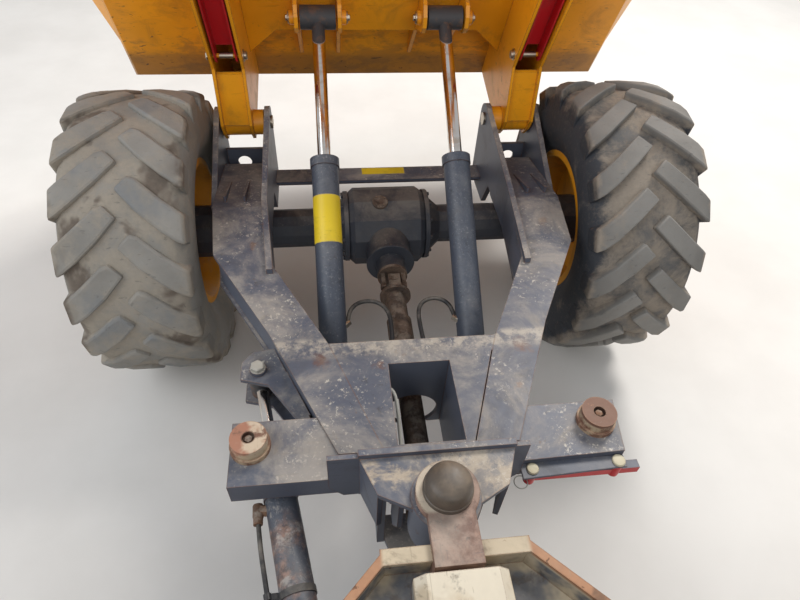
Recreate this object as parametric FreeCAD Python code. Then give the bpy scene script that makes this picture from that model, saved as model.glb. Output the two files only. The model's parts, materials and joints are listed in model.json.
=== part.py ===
"""Articulated site dumper with its skip tipped forward, one STEP file per node.

Working frame: X to the right, Y forward with 0 at the front axle, Z up with the axles
at AXLE_Z, all in millimetres. The last step moves every node by one shift along Y and Z,
so that the machine stands on its tyres at Z 0 with its box centred along Y.
"""
import math
import os

import FreeCAD
import Part

V = FreeCAD.Vector

# main dimensions
PIVOT_Y = -1300.0          # steering pivot, measured from the front axle
REAR_REACH = 1100.0        # from the steering pivot to the rear axle
HALF_TRACK = 856.0
REAR_Y = PIVOT_Y - REAR_REACH

# tyre and rim
TYRE_R = 537.5             # to the lug tips
LUG_H = 32.0
TYRE_W = 405.0
BEAD_R = 266.0
FLANGE_R = BEAD_R + 14.0   # rim flange, where the tyre sits
RIM_W = 330.0
LUG_COUNT = 18             # lugs on each half of the tread
SIDES = 24                 # flat sides that stand for a rim's round
TYRE_SIDES = 17            # and for a tyre's, under its lugs
HUB_D = 120.0
AXLE_Z = 537.5             # axle centres in the working frame
TREAD_R = TYRE_R - LUG_H
HALF_TYRE = TYRE_W / 2.0
WHEEL_IN = HALF_TRACK - HALF_TYRE    # inner face of the tyres

# fits
RUN_FIT = 0.05             # radial clearance of a pin in its bore
MOVE_GAP = 6.0             # side clearance between pieces that move

# skip hinge and tipping
HINGE_Y = 310.0
HINGE_Z = 825.0
HINGE_PIN_D = 50.0
TIP_ANGLE = 67.0           # from the lowered pose to the tipped rest pose

# towers of the front chassis and the skip arms between their plates
PLATE_T = 20.0
TOWER_OUT = WHEEL_IN - 15.5          # outer face of the outer tower plate
ARM_W = 118.0
ARM_T = 12.0
ARM_X1 = TOWER_OUT - PLATE_T - MOVE_GAP
ARM_X0 = ARM_X1 - ARM_W
TOWER_IN = ARM_X0 - 44.0             # outer face of the inner tower plate
ARM_MID = (ARM_X0 + ARM_X1) / 2.0

# safety props stowed in the arms, in the lowered pose
PROP_Y = 41.0
PROP_Z = 905.0
PROP_LEN = 493.0
PROP_SIDE = 8.0            # gap between a prop and each arm plate
PROP_PIN_D = 16.0

# skip, in its lowered pose
FLOOR_Z = 1180.0
SKIP_T = 8.0
BEND_Y = 444.0
HEEL_Y = -800.0
LIP_Y = 880.0
LIP_Z = 1600.0
REAR_TOP_Y = -1130.0
REAR_TOP_Z = 1750.0
PEAK_Y = -400.0            # where the side edge starts to fall to the lip
SKIP_TOP_Z = max(REAR_TOP_Z, LIP_Z)
SKIP_RIM_H = 45.0          # thickened rim along the side edges
SKIP_RIM_T = 26.0
FLOOR_HALF = 1000.0
CORNER_HALF = 1180.0       # outer edge of the sloping corner facet
CORNER_Z = 1365.0
TOP_HALF = 1200.0
NOSE_HALF = 1012.0         # half width at the front, ahead of the facets
NOSE_Y = 270.0
WIDE_Y = -280.0

# tipping rams
RAM_X = 225.0
RAM_Y = -700.0
RAM_Z = 520.0
RAM_OD = 90.0
RAM_ROD_D = 45.0
RAM_GLAND = 710.0          # barrel length from its pin to the gland face
RAM_PIN_D = 40.0
EYE_LOW_Y = -50.0          # rod eye with the skip lowered
EYE_LOW_Z = 987.0

# front chassis
DECK_Z = 770.0
ARM_BOTTOM_Z = 630.0
PAD_X = 430.0
PAD_Y = PIVOT_Y + 210.0
PAD_TOP_Z = 810.0
PAD_D = 87.0
WING_Z0 = 695.0
WING_Z1 = 765.0
HEAD_Z = 875.0             # top of the pivot head's front lip
PIVOT_D = 60.0
DECK_END_Y = PIVOT_Y + 170.0   # rear end of the front chassis deck
HEAD_Y = PIVOT_Y + 110.0       # front of the raised pivot head
WELL = (-78.0, 90.0, -872.0)   # left, right and front inner faces of the open shaft
SPINE_Y = PIVOT_Y - 100.0   # front end of the rear chassis spine

# drive shaft and its universal joint
SHAFT_D = 70.0
UJ_FLANGE_D = 110.0
UJ_CROSS_D = 26.0
UJ_HALF = 44.0             # half width over a yoke's ears
UJ_REACH = 58.0            # from a yoke's flange to the cross

# steering ram, on the left side only
STEER_Z = 636.0
STEER_EYE = (-436.0, -810.0)
STEER_PIN = (-240.0, PIVOT_Y - 550.0)
STEER_OD = 80.0
STEER_ROD_D = 32.0
STEER_BARREL = 735.0
STEER_PIN_D = 30.0
STEER_EYE_D = 62.0         # outside of the rod eye

# rear chassis
FLOOR_PLATE_Z = 815.0
FLOOR_RIM_Z = 878.0
RAIL_IN = 300.0
RAIL_OUT = 400.0
RAIL_Z0 = 630.0
RAIL_Z1 = 750.0
STEP_X = 635.0             # outer edge of the steps on the side tanks
LOUVRES = 6                # slots in each side panel
LOUVRE_W = 22.0
LOUVRE_STEP = 55.0
BAY_HALF = 340.0           # half width of the engine bay's panels
CROSS_Y = REAR_Y + 320.0    # front end of the rear rails
SEAT_FRONT_Y = REAR_Y + 440.0
BAY_FRONT_Y = REAR_Y - 80.0
BAY_REAR_Y = REAR_Y - 630.0
BAY_FRONT_Z = 1080.0
BAY_REAR_Z = 1000.0
BONNET_TOP_Z = 1250.0
BUMPER_Y = BAY_REAR_Y - 20.0
JAW_Y = BUMPER_Y - 170.0
TOW_BORE_D = 33.0
ROPS_X = 500.0
ROPS_Y = BAY_FRONT_Y - 80.0
ROPS_FOLD_Z = 1560.0
ROPS_TOP_Z = 2750.0
ROPS_W = 80.0
BONNET_HINGE_Y = BAY_REAR_Y - 14.0
BONNET_HINGE_Z = 1010.0
WHEEL_CENTRE = (0.0, PIVOT_Y - 600.0, 1430.0)
COLUMN_TILT = 32.0         # steering column, from the vertical towards the seat
STEER_WHEEL_R = 180.0

nodes = {}


def box(x0, x1, y0, y1, z0, z1):
    return Part.makeBox(x1 - x0, y1 - y0, z1 - z0, V(x0, y0, z0))


def polygon(points):
    return Part.Face(Part.makePolygon(list(points) + [points[0]]))


def prism(points, along):
    return polygon([V(*p) for p in points]).extrude(along)


def plate_x(profile, x0, x1):
    """Extrude a (y, z) profile from x0 to x1."""
    return prism([(x0, y, z) for y, z in profile], V(x1 - x0, 0, 0))


def plate_y(profile, y0, y1):
    """Extrude an (x, z) profile from y0 to y1."""
    return prism([(x, y0, z) for x, z in profile], V(0, y1 - y0, 0))


def plate_z(profile, z0, z1):
    """Extrude an (x, y) profile from z0 to z1."""
    return prism([(x, y, z0) for x, y in profile], V(0, 0, z1 - z0))


def closed_solid(faces):
    shell = Part.Shell(faces)
    shell.sewShape()
    solid = Part.Solid(Part.Shell(shell.Faces))
    if solid.Volume < 0:
        solid.reverse()
    return solid


def flat_ring(profile, sides=SIDES):
    """Ring about the X axis with flat sides, from a closed (x, radius) profile."""
    step = 2.0 * math.pi / sides
    faces = []
    for i in range(sides):
        a = i * step
        b = a + step
        for k, (x0, r0) in enumerate(profile):
            x1, r1 = profile[(k + 1) % len(profile)]
            faces.append(polygon([
                V(x0, r0 * math.cos(a), r0 * math.sin(a)), V(x1, r1 * math.cos(a), r1 * math.sin(a)),
                V(x1, r1 * math.cos(b), r1 * math.sin(b)), V(x0, r0 * math.cos(b), r0 * math.sin(b))]))
    return closed_solid(faces)


def ruled_solid(rings):
    """Solid between rings of points, with flat three-cornered sides."""
    faces = [polygon(rings[0]), polygon(rings[-1])]
    for low, high in zip(rings, rings[1:]):
        for k in range(len(low)):
            j = (k + 1) % len(low)
            faces.append(polygon([low[k], low[j], high[j]]))
            faces.append(polygon([low[k], high[j], high[k]]))
    return closed_solid(faces)


def rod(p, q, d):
    start = V(*p)
    along = V(*q) - start
    return Part.makeCylinder(d / 2.0, along.Length, start, along)


def post(x, y, z0, z1, d):
    return Part.makeCylinder(d / 2.0, z1 - z0, V(x, y, z0))


def cross_rod(y, z, x0, x1, d):
    return rod((x0, y, z), (x1, y, z), d)


def fuse(*shapes):
    flat = []
    for item in shapes:
        flat.extend(item if isinstance(item, (list, tuple)) else [item])
    if len(flat) == 1:
        return flat[0]
    return flat[0].fuse(flat[1:]).removeSplitter()


def cut(shape, *tools):
    flat = []
    for item in tools:
        flat.extend(item if isinstance(item, (list, tuple)) else [item])
    return shape.cut(flat)


def mirrored(shape):
    return shape.mirror(V(0, 0, 0), V(1, 0, 0))


def both(shape):
    return Part.makeCompound([shape, mirrored(shape)])


def tip_point(y, z):
    """Where a (y, z) point of the lowered skip lies in the tipped rest pose."""
    a = math.radians(-TIP_ANGLE)
    dy = y - HINGE_Y
    dz = z - HINGE_Z
    return HINGE_Y + dy * math.cos(a) - dz * math.sin(a), HINGE_Z + dy * math.sin(a) + dz * math.cos(a)


def tipped(shape):
    """Turn a lowered skip shape about the hinge into the tipped rest pose."""
    turned = shape.copy()
    turned.rotate(V(0, HINGE_Y, HINGE_Z), V(1, 0, 0), -TIP_ANGLE)
    return turned


EYE_Y, EYE_Z = tip_point(EYE_LOW_Y, EYE_LOW_Z)
RAM_LEN = math.hypot(EYE_Y - RAM_Y, EYE_Z - RAM_Z)
RAM_SLOPE = math.atan2(EYE_Z - RAM_Z, EYE_Y - RAM_Y)
STEER_LEN = math.hypot(STEER_EYE[0] - STEER_PIN[0], STEER_EYE[1] - STEER_PIN[1])


def up_ram(t, x=RAM_X):
    """Point at distance t up a tipping ram's axis from its lower pin."""
    return (x, RAM_Y + t * math.cos(RAM_SLOPE), RAM_Z + t * math.sin(RAM_SLOPE))


def along_steer(t):
    """Point at distance t along the steering ram from its rear pin."""
    dx = (STEER_EYE[0] - STEER_PIN[0]) / STEER_LEN
    dy = (STEER_EYE[1] - STEER_PIN[1]) / STEER_LEN
    return (STEER_PIN[0] + dx * t, STEER_PIN[1] + dy * t, STEER_Z)


def add(name, shape):
    nodes[name] = shape


def tyre_carcass():
    half = HALF_TYRE
    seat_r = FLANGE_R / math.cos(math.pi / TYRE_SIDES) + 0.1
    right = [(half - 35, seat_r), (half, BEAD_R + 125), (half - 36, TREAD_R - 8)]
    outline = right + [(-x, r) for x, r in right[::-1]]
    return flat_ring(outline, TYRE_SIDES)


def lug():
    """One lug from the tread's middle out over its shoulder."""
    sections = [
        # x, first angle, last angle, top radius, foot radius
        (4.0, 0.0, 6.2, TYRE_R, TREAD_R - 26),
        (HALF_TYRE - 5, 14.6, 21.4, TYRE_R - 22, TREAD_R - 92),
    ]
    rings = []
    for x, first, last, top, foot in sections:
        corners = ((first, top), (last, top), (last, foot), (first, foot))
        rings.append([V(x, r * math.cos(math.radians(a)), r * math.sin(math.radians(a))) for a,
                      r in corners])
    return ruled_solid(rings)


def tyre():
    step = 360.0 / LUG_COUNT
    lugs = []
    for blank, first in ((lug(), 0.0), (mirrored(lug()), step / 2.0)):
        for i in range(LUG_COUNT):
            one = blank.copy()
            one.rotate(V(0, 0, 0), V(1, 0, 0), first + i * step)
            lugs.append(one)
    return tyre_carcass().fuse(lugs)


def rim():
    """Dished disc wheel; its outer side is +X."""
    half = RIM_W / 2.0
    outline = [
        # x, radius
        (-half, FLANGE_R), (-half, BEAD_R - 14), (-62, BEAD_R - 44), (-62, 108), (-74, 96), (-74, 44),
        (-56, 44), (-56, 90), (-42, 104), (-42, BEAD_R - 44), (half, BEAD_R - 14), (half, FLANGE_R)]
    ring = flat_ring(outline)
    return cut(ring, cross_rod(0, 0, -half, half, HUB_D + 2 * RUN_FIT))


def wheels():
    rim_shape = rim()
    tyre_shape = tyre()
    places = [
        # name, side, y
        ("front_left", -1, 0.0), ("front_right", 1, 0.0), ("rear_left", -1, REAR_Y),
        ("rear_right", 1, REAR_Y)]
    for name, side, y in places:
        for kind, shape in (("tyre_", tyre_shape), ("rim_", rim_shape)):
            placed = shape.copy() if side > 0 else mirrored(shape)
            placed.translate(V(side * HALF_TRACK, y, AXLE_Z))
            add(kind + name, placed)


def tower_plate(x0, x1, tail):
    """Tower plate with a round head at the skip hinge; tail ends its top edge."""
    profile = [
        (HINGE_Y + 60, AXLE_Z - 17), (HINGE_Y + 60, HINGE_Z), (HINGE_Y - 45, HINGE_Z + 48), tail,
        (tail[0], ARM_BOTTOM_Z + 10), (100, ARM_BOTTOM_Z + 10), (160, AXLE_Z - 17)]
    return fuse(plate_x(profile, x0, x1), cross_rod(HINGE_Y, HINGE_Z, x0, x1, 120))


def beam_plan(grow):
    """Plan of the right frame arm, its sides moved out by grow."""
    outer = [(TOWER_OUT - PLATE_T, 60), (TOWER_OUT - PLATE_T, -145), (589 + grow, -400),
             (400 + grow, -745),
             (222 + grow, DECK_END_Y)]
    inner = [(112 - grow, DECK_END_Y), (237 - grow, -790), (400 - grow, -465),
             (TOWER_IN - PLATE_T - grow, -150),
             (TOWER_IN - PLATE_T - grow, 60)]
    return outer + inner


def frame_arm():
    """Right arm: tapered box beam, tower plates and the sloping floor between them."""
    x0 = TOWER_IN
    x1 = TOWER_OUT - PLATE_T
    beam = fuse(plate_z(beam_plan(0), DECK_Z - 15, DECK_Z),
                plate_z(beam_plan(-10), ARM_BOTTOM_Z, DECK_Z - 15),
                plate_z(beam_plan(0), ARM_BOTTOM_Z, ARM_BOTTOM_Z + 12))
    slope_zone = plate_x([(-160, DECK_Z + 1), (61, DECK_Z - 42), (61, ARM_BOTTOM_Z + 15),
                          (-120, ARM_BOTTOM_Z + 15),
                          (-120, DECK_Z - 30)], x0, x1)
    slope_zone = fuse(slope_zone, plate_x([(-160, DECK_Z), (61, DECK_Z - 42), (61, DECK_Z + 1),
                                           (-160, DECK_Z + 1)], x0 - 40, x1 + 40))
    beam = cut(beam, slope_zone)
    slope = plate_x([(-160, DECK_Z), (211, DECK_Z - 70), (242, DECK_Z - 90), (-120, DECK_Z - 30)], x0,
                    x1)
    inner = tower_plate(x0 - PLATE_T, x0, (-150, DECK_Z + 20))
    outer = tower_plate(x1, TOWER_OUT, (-90, DECK_Z - 56))
    tail = plate_z([(x0 - PLATE_T, -150), (x0, -150), (x0 - 32, -500), (x0 - 52, -500)],
                   ARM_BOTTOM_Z + 10, DECK_Z + 20)
    front = cut(box(x0, x1, HINGE_Y - 16, HINGE_Y - 4, AXLE_Z + 20, DECK_Z - 54),
                rod((ARM_MID, HINGE_Y - 30, 655), (ARM_MID, HINGE_Y + 10, 655), 55))
    ribs = [plate_x([(-120, DECK_Z - 12), (-120, DECK_Z + 18), (60, DECK_Z - 42)], ARM_MID + dx - 4,
                    ARM_MID + dx + 4)
            for dx in (-42, 24)]
    bore = cross_rod(HINGE_Y, HINGE_Z, x0 - 60, TOWER_OUT + 20, HINGE_PIN_D)
    return cut(fuse(beam, slope, inner, outer, tail, front, ribs), bore)


def axle(y, nose):
    """Drive axle across the machine; its input faces +Y where nose is 1, else -Y."""
    flange_x = HALF_TRACK - 74
    outline = [
        # x, radius
        (-flange_x, 100), (-flange_x + 150, 100), (-flange_x + 165, 75), (-210, 75), (-125, 152),
        (125, 152), (210, 75), (flange_x - 165, 75), (flange_x - 150, 100), (flange_x, 100)]
    rings = []
    for x, r in outline:
        angles = [math.radians(15.0 + 30.0 * i) for i in range(12)]
        rings.append([V(x, y + r * math.cos(a), AXLE_Z + r * math.sin(a)) for a in angles])
    parts = [ruled_solid(rings)]
    for reach, d in ((230, 170), (290, 110)):
        parts.append(rod((0, y, AXLE_Z), (0, y + nose * reach, AXLE_Z), d))
    for side in (-1, 1):
        parts.append(Part.makeCylinder(HUB_D / 2.0, 94, V(side * flange_x, y, AXLE_Z), V(side, 0, 0)))
    return fuse(parts)


def well_walls():
    """Open shaft in the middle of the pivot box, above the drive shaft."""
    x0, x1, y1 = WELL
    y0 = DECK_END_Y + 13
    t = 12
    outer = box(x0 - t, x1 + t, y0 - t, y1 + t, 470, DECK_Z)
    return cut(outer, box(x0, x1, y0, y1, 400, DECK_Z + 100))


def pivot_box(arm):
    """Crossmember, shaft, raised head, bearings and ram lugs in one weldment."""
    gap = 3.0
    deck = plate_z([(-237, -790), (237 - gap, -790), (112 - gap, DECK_END_Y), (-112, DECK_END_Y)],
                   DECK_Z - 15, DECK_Z)
    cross = plate_z([(-237, -790), (237, -790), (218, -845), (-218, -845)], ARM_BOTTOM_Z + 10, DECK_Z)
    deck = cut(deck, box(WELL[0], WELL[1], DECK_END_Y + 13, WELL[2], 400, 900))
    back = box(-178, 178, HEAD_Y + 5, DECK_END_Y + 1, 690, DECK_Z)
    lip = box(-179, 179, HEAD_Y - 6, HEAD_Y + 10, 690, HEAD_Z)
    # head plate tapers back to the collar round the pivot pin
    y = PIVOT_Y + 19
    plate = plate_z([(-179, HEAD_Y + 10), (179, HEAD_Y + 10), (143, y), (66, y - 41), (-66, y - 41),
                     (-143, y)], 845, 860)
    walls = []
    for side in (-1, 1):
        walls.append(plate_z([(side * 179, HEAD_Y), (side * 143, y), (side * 131, y + 5),
                              (side * 167, HEAD_Y)], 700, 860))
        reach = 212 if side > 0 else 248
        walls.append(plate_y([(side * 179, 865), (side * reach, 865), (side * reach, 733),
                              (side * (reach - 33), 692),
                              (side * 120, 692), (side * 120, 850)], HEAD_Y - 6, HEAD_Y + 6))
        walls.append(plate_x([(HEAD_Y, 560), (HEAD_Y, 850), (y - 4, 850), (y - 4, 690), (y + 56, 560)],
                             min(side * 96, side * 84), max(side * 96, side * 84)))
        walls.append(box(min(side * 130, side * 110), max(side * 130, side * 110), HEAD_Y - 6,
                         DECK_END_Y + 1, 380, 692))
    upper = post(0, PIVOT_Y, 725, 868, 150)
    lower = post(0, PIVOT_Y, 345, 435, 150)
    foot = plate_z([(-130, DECK_END_Y + 1), (130, DECK_END_Y + 1), (75, PIVOT_Y), (-75, PIVOT_Y)], 380,
                   400)
    hang = cut(box(-300, 300, -830, -790, 440, ARM_BOTTOM_Z + 10), box(-95, 95, -840, -780, 430, 622))
    lugs = []
    ear = [(RAM_Y - 100, 440), (RAM_Y - 100, 650), (RAM_Y - 90, 700), (RAM_Y - 40, 700),
           (RAM_Y + 45, RAM_Z + 25),
           (RAM_Y + 45, RAM_Z - 30), (RAM_Y, RAM_Z - 55)]
    for x in (RAM_X, -RAM_X):
        lugs.extend([plate_x(ear, x - 59, x - 44), plate_x(ear, x + 44, x + 59)])
        lugs.append(cross_rod(RAM_Y, RAM_Z, x - 70, x + 70, RAM_PIN_D))
    head = fuse(cross, deck, well_walls(), back, lip, plate, walls, upper, lower, foot, hang, lugs)
    tunnel = box(-84, 84, PIVOT_Y - 100, DECK_END_Y + 25, 436, 692)
    head = cut(head, tunnel, rod((0, -900, AXLE_Z), (0, -780, AXLE_Z), 150),
               post(0, PIVOT_Y, 200, 1100, PIVOT_D + 2 * RUN_FIT))
    return cut(head, arm, mirrored(arm))


def yoke(y, reach, upright):
    """Flange at y and two ears that hold the joint's cross at distance reach."""
    sign = 1 if reach > 0 else -1
    parts = [rod((0, y, AXLE_Z), (0, y + sign * 12, AXLE_Z), UJ_FLANGE_D)]
    far = y + reach + sign * 20
    for side in (-1, 1):
        a, b = sorted((side * (UJ_HALF - 14), side * UJ_HALF))
        c, d = sorted((y, far))
        ear = box(a, b, c, d, AXLE_Z - 21, AXLE_Z + 21)
        if upright:
            ear.rotate(V(0, y, AXLE_Z), V(0, 1, 0), 90)
        parts.append(ear)
    return parts


def universal_joint(y, sign):
    """Two yokes and their cross; y is the first flange's face."""
    middle = y + sign * UJ_REACH
    parts = yoke(y, sign * UJ_REACH, False) + yoke(y + sign * 2 * UJ_REACH, -sign * UJ_REACH, True)
    half = UJ_HALF + 3
    parts.append(rod((-half, middle, AXLE_Z), (half, middle, AXLE_Z), UJ_CROSS_D))
    parts.append(rod((0, middle, AXLE_Z - half), (0, middle, AXLE_Z + half), UJ_CROSS_D))
    return parts


def front_chassis():
    arm = frame_arm()
    add("frame_arms", both(arm))
    half = TOWER_IN - PLATE_T
    add("front_crossbeam", fuse(box(-half, half, HINGE_Y - 90, HINGE_Y, AXLE_Z + 52, AXLE_Z + 64),
                                box(-half, half, HINGE_Y - 12, HINGE_Y, AXLE_Z - 8, AXLE_Z + 64)))

    shape = axle(0.0, -1)
    for side in (-1, 1):
        a, b = sorted((side * (TOWER_IN + 10), side * (TOWER_OUT - PLATE_T - 10)))
        shape = shape.fuse(box(a, b, -80, 80, AXLE_Z, ARM_BOTTOM_Z)).removeSplitter()
    add("front_axle", shape)
    head = pivot_box(arm)
    add("pivot_box", head)

    y = PAD_Y + 60
    wing = plate_z([(209, y), (500, y), (478, y - 146), (209, y - 152)], WING_Z0, WING_Z1)
    wing = cut(wing, arm, mirrored(arm), head)
    wing_left = cut(mirrored(plate_z([(209, y + 8), (478, y + 8), (478, y - 160), (209, y - 160)],
                                     WING_Z0, WING_Z1)),
                    mirrored(arm), head)
    add("stop_wings", Part.makeCompound([wing, wing_left]))
    pad = cut(fuse(post(PAD_X, PAD_Y, WING_Z1, PAD_TOP_Z, PAD_D),
                   post(PAD_X, PAD_Y, WING_Z1, WING_Z1 + 14, PAD_D + 10)),
              post(PAD_X, PAD_Y, PAD_TOP_Z - 14, PAD_TOP_Z + 5, 30))
    add("rest_pads", both(pad))
    y = HEAD_Y - 7
    bar = fuse(box(226, 520, y - 7, y + 15, 700, 724), post(241, y, 694, 752, 28),
               post(460, y + 3, 694, 752, 30))
    add("lock_bar", cut(bar, wing))

    eye_x, eye_y = STEER_EYE
    outline = [(eye_x - 48, -838), (eye_x - 48, -780), (eye_x - 20, -742), (-395, -735), (-289, -985),
               (-322, -985),
               (eye_x + 30, -862)]
    plates = [plate_z(outline, z0, z0 + 12) for z0 in (STEER_Z - 58, STEER_Z + 46)]
    heads = [post(eye_x, eye_y, STEER_Z - 68, STEER_Z - 58, 46),
             post(eye_x, eye_y, STEER_Z + 58, STEER_Z + 70, 46)]
    strip = plate_z([(-372, -820), (-356, -820), (-292, -968), (-308, -968)], STEER_Z - 58,
                    STEER_Z + 58)
    add("steering_bracket", cut(fuse(plates, heads, strip), mirrored(arm)))

    pin = fuse(cross_rod(HINGE_Y, HINGE_Z, TOWER_IN - PLATE_T - 8, TOWER_OUT, HINGE_PIN_D),
               cross_rod(HINGE_Y, HINGE_Z, TOWER_OUT, TOWER_OUT + 6, HINGE_PIN_D + 14))
    add("hinge_pins", both(pin))
    tube_y = -290 - 2 * UJ_REACH
    shaft = [
        # start, end, diameter
        (tube_y, -520, SHAFT_D), (-520, -640, SHAFT_D + 14), (-640, PIVOT_Y + 120, SHAFT_D),
        (PIVOT_Y + 120, PIVOT_Y + 75, 110)]
    add("propshaft_front", fuse(universal_joint(-290, -1),
                                [rod((0, a, AXLE_Z), (0, b, AXLE_Z), d) for a, b, d in shaft]))
    return arm


def skip_tunnel(t, far):
    """Closed outline of the skip's sides, inset by t, without its ends and floor."""
    lean = (CORNER_HALF - FLOOR_HALF) / (CORNER_Z - FLOOR_Z)
    off = t * math.hypot(1, lean)
    rise = (TOP_HALF - CORNER_HALF) / (REAR_TOP_Z - CORNER_Z)
    low = FLOOR_HALF - off - lean * far
    high = SKIP_TOP_Z + far
    top = TOP_HALF - t + rise * (high - REAR_TOP_Z)
    right = [(low, FLOOR_Z - far), (CORNER_HALF - t, CORNER_Z + (off - t) / lean),
             (top, high)]
    section = plate_y(right + [(-x, z) for x, z in right[::-1]], -2000, 2000)
    side = [(NOSE_HALF - t, 2000), (NOSE_HALF - t, NOSE_Y), (TOP_HALF + 40 - t, WIDE_Y),
            (TOP_HALF + 40 - t, -2000)]
    plan = plate_z(side + [(-x, y) for x, y in side[::-1]], FLOOR_Z - 280, SKIP_TOP_Z + 450)
    return section.common(plan)


def skip_length(t):
    """Side view of the skip, inset by t and open upwards where t is above 0."""
    slope_r = (REAR_TOP_Y - HEEL_Y) / (REAR_TOP_Z - FLOOR_Z)
    slope_f = (LIP_Y - BEND_Y) / (LIP_Z - FLOOR_Z)
    off_r = t * math.hypot(1, slope_r)
    off_f = t * math.hypot(1, slope_f)

    def rear(z):
        return (HEEL_Y + off_r + slope_r * (z - FLOOR_Z), z)

    def front(z):
        return (BEND_Y - off_f + slope_f * (z - FLOOR_Z), z)

    floor = FLOOR_Z + t
    if t > 0:
        top = SKIP_TOP_Z + 50
        return plate_x([rear(floor), front(floor), front(top), rear(top)], -1400, 1400)
    return plate_x([rear(floor), front(floor), front(LIP_Z), (PEAK_Y, REAR_TOP_Z), rear(REAR_TOP_Z)],
                   -1400, 1400)


def skip():
    hull = skip_length(0.0).common(skip_tunnel(0.0, 0.0))
    shell = hull.cut(skip_length(SKIP_T).common(skip_tunnel(SKIP_T, 60.0)))
    floor = shell.common(box(-1400, 1400, -1500, 1800, FLOOR_Z, FLOOR_Z + SKIP_T))
    rest = shell.cut(floor)
    inside = skip_tunnel(SKIP_T, 60.0)
    sides = rest.cut(inside)
    ends = rest.common(inside)
    rear = ends.common(box(-1400, 1400, REAR_TOP_Y - 370, -300, FLOOR_Z, SKIP_TOP_Z + 250))
    front = ends.common(box(-1400, 1400, -300, LIP_Y + 920, FLOOR_Z, SKIP_TOP_Z + 250))
    width = TOP_HALF - SKIP_T - 2
    rail = plate_x([(REAR_TOP_Y, REAR_TOP_Z), (REAR_TOP_Y - 45, REAR_TOP_Z),
                    (REAR_TOP_Y - 45, REAR_TOP_Z - 22),
                    (REAR_TOP_Y + 35, REAR_TOP_Z - 60)], -width, width)
    rail = cut(rail, skip_length(0.0))
    lip = plate_x([(LIP_Y - 70, LIP_Z - 31.7), (LIP_Y, LIP_Z), (LIP_Y, LIP_Z - 24),
                   (LIP_Y - 60, LIP_Z - 51)], -NOSE_HALF + 20, NOSE_HALF - 20)
    lip = cut(lip, skip_length(0.0))
    rear = fuse(rear, rail)
    front = fuse(front, lip)
    edge = [(LIP_Y + 5, LIP_Z + 2), (PEAK_Y, REAR_TOP_Z + 1), (REAR_TOP_Y, REAR_TOP_Z + 1)]
    band = plate_x(edge + [(y, z - SKIP_RIM_H) for y, z in edge[::-1]], -1400, 1400)
    rims = hull.cut(skip_tunnel(SKIP_RIM_T, 60.0)).common(band)
    sides = cut(fuse(sides, rims), front, rear)
    add("skip_floor", tipped(floor))
    add("skip_sides", tipped(sides))
    add("skip_rear", tipped(rear))
    add("skip_front", tipped(front))


def skip_arm():
    """Right arm under the skip: two deep plates with a closed neck."""
    side = [(HINGE_Y + 55, 790), (HINGE_Y + 62, 830), (BEND_Y - 14, FLOOR_Z), (HEEL_Y + 10, FLOOR_Z),
            (PAD_Y + 30, 1000), (PAD_Y - 60, 940),
            (PAD_Y - 60, 850), (-239, 862), (76, 875), (260, 767), (HINGE_Y, 770)]
    inner = plate_x(side, ARM_X0, ARM_X0 + ARM_T)
    outer = plate_x(side, ARM_X1 - ARM_T, ARM_X1)
    neck = plate_x([(268, 777), (101, 873), (101, 887), (268, 791)], ARM_X0, ARM_X1)
    front = plate_x([(HINGE_Y + 62, 830), (BEND_Y - 14, FLOOR_Z), (BEND_Y - 26, FLOOR_Z),
                     (HINGE_Y + 50, 830)], ARM_X0, ARM_X1)
    end = box(ARM_X0, ARM_X1, PAD_Y - 60, PAD_Y - 48, 850, 940)
    boss = cross_rod(HINGE_Y, HINGE_Z, TOWER_IN + 4, TOWER_OUT - PLATE_T - 4, 95)
    stay_pin = fuse(cross_rod(PROP_Y, PROP_Z, ARM_X0, ARM_X1, PROP_PIN_D),
                    cross_rod(PROP_Y, PROP_Z, ARM_X0 - 8, ARM_X0, 26))
    body = fuse(inner, outer, neck, front, end, boss, stay_pin)
    return cut(body, cross_rod(HINGE_Y, HINGE_Z, TOWER_IN - 60, TOWER_OUT + 60,
                               HINGE_PIN_D + 2 * RUN_FIT))


def skip_frame():
    add("skip_arms", tipped(both(skip_arm())))
    eye_low = EYE_LOW_Z - 50
    beam = fuse(box(-ARM_X0, ARM_X0, EYE_LOW_Y - 90, EYE_LOW_Y + 140, FLOOR_Z - 110, FLOOR_Z))
    parts = [beam]
    front_y = EYE_LOW_Y + 140
    ear = [(EYE_LOW_Y - 100, FLOOR_Z), (EYE_LOW_Y - 60, EYE_LOW_Z - 7), (EYE_LOW_Y - 35, eye_low + 13),
           (EYE_LOW_Y, eye_low),
           (EYE_LOW_Y + 35, eye_low + 13), (EYE_LOW_Y + 60, EYE_LOW_Z - 2),
           (front_y + 10, FLOOR_Z - 90),
           (front_y + 220, FLOOR_Z - 10), (front_y + 220, FLOOR_Z)]
    for x in (RAM_X, -RAM_X):
        parts.extend([plate_x(ear, x - 83, x - 68), plate_x(ear, x + 68, x + 83)])
        parts.append(cross_rod(EYE_LOW_Y, EYE_LOW_Z, x - 100, x - 83, RAM_PIN_D + 8))
        parts.append(cross_rod(EYE_LOW_Y, EYE_LOW_Z, x + 83, x + 100, RAM_PIN_D + 8))
    gusset = plate_z([(ARM_X0, front_y), (ARM_X0, front_y + 110), (ARM_X0 - 110, front_y)],
                     FLOOR_Z - 110, FLOOR_Z - 98)
    parts.extend([gusset, mirrored(gusset)])
    add("skip_ram_beam", tipped(fuse(parts)))
    foot_top = PAD_TOP_Z + 70
    rest = box(-ARM_X0, ARM_X0, PAD_Y - 50, PAD_Y + 50, foot_top, foot_top + 70)
    foot = box(PAD_X - 45, PAD_X + 45, PAD_Y - 45, PAD_Y + 45, PAD_TOP_Z + 5, foot_top)
    add("skip_rest_beam", tipped(fuse(rest, foot, mirrored(foot))))


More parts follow.
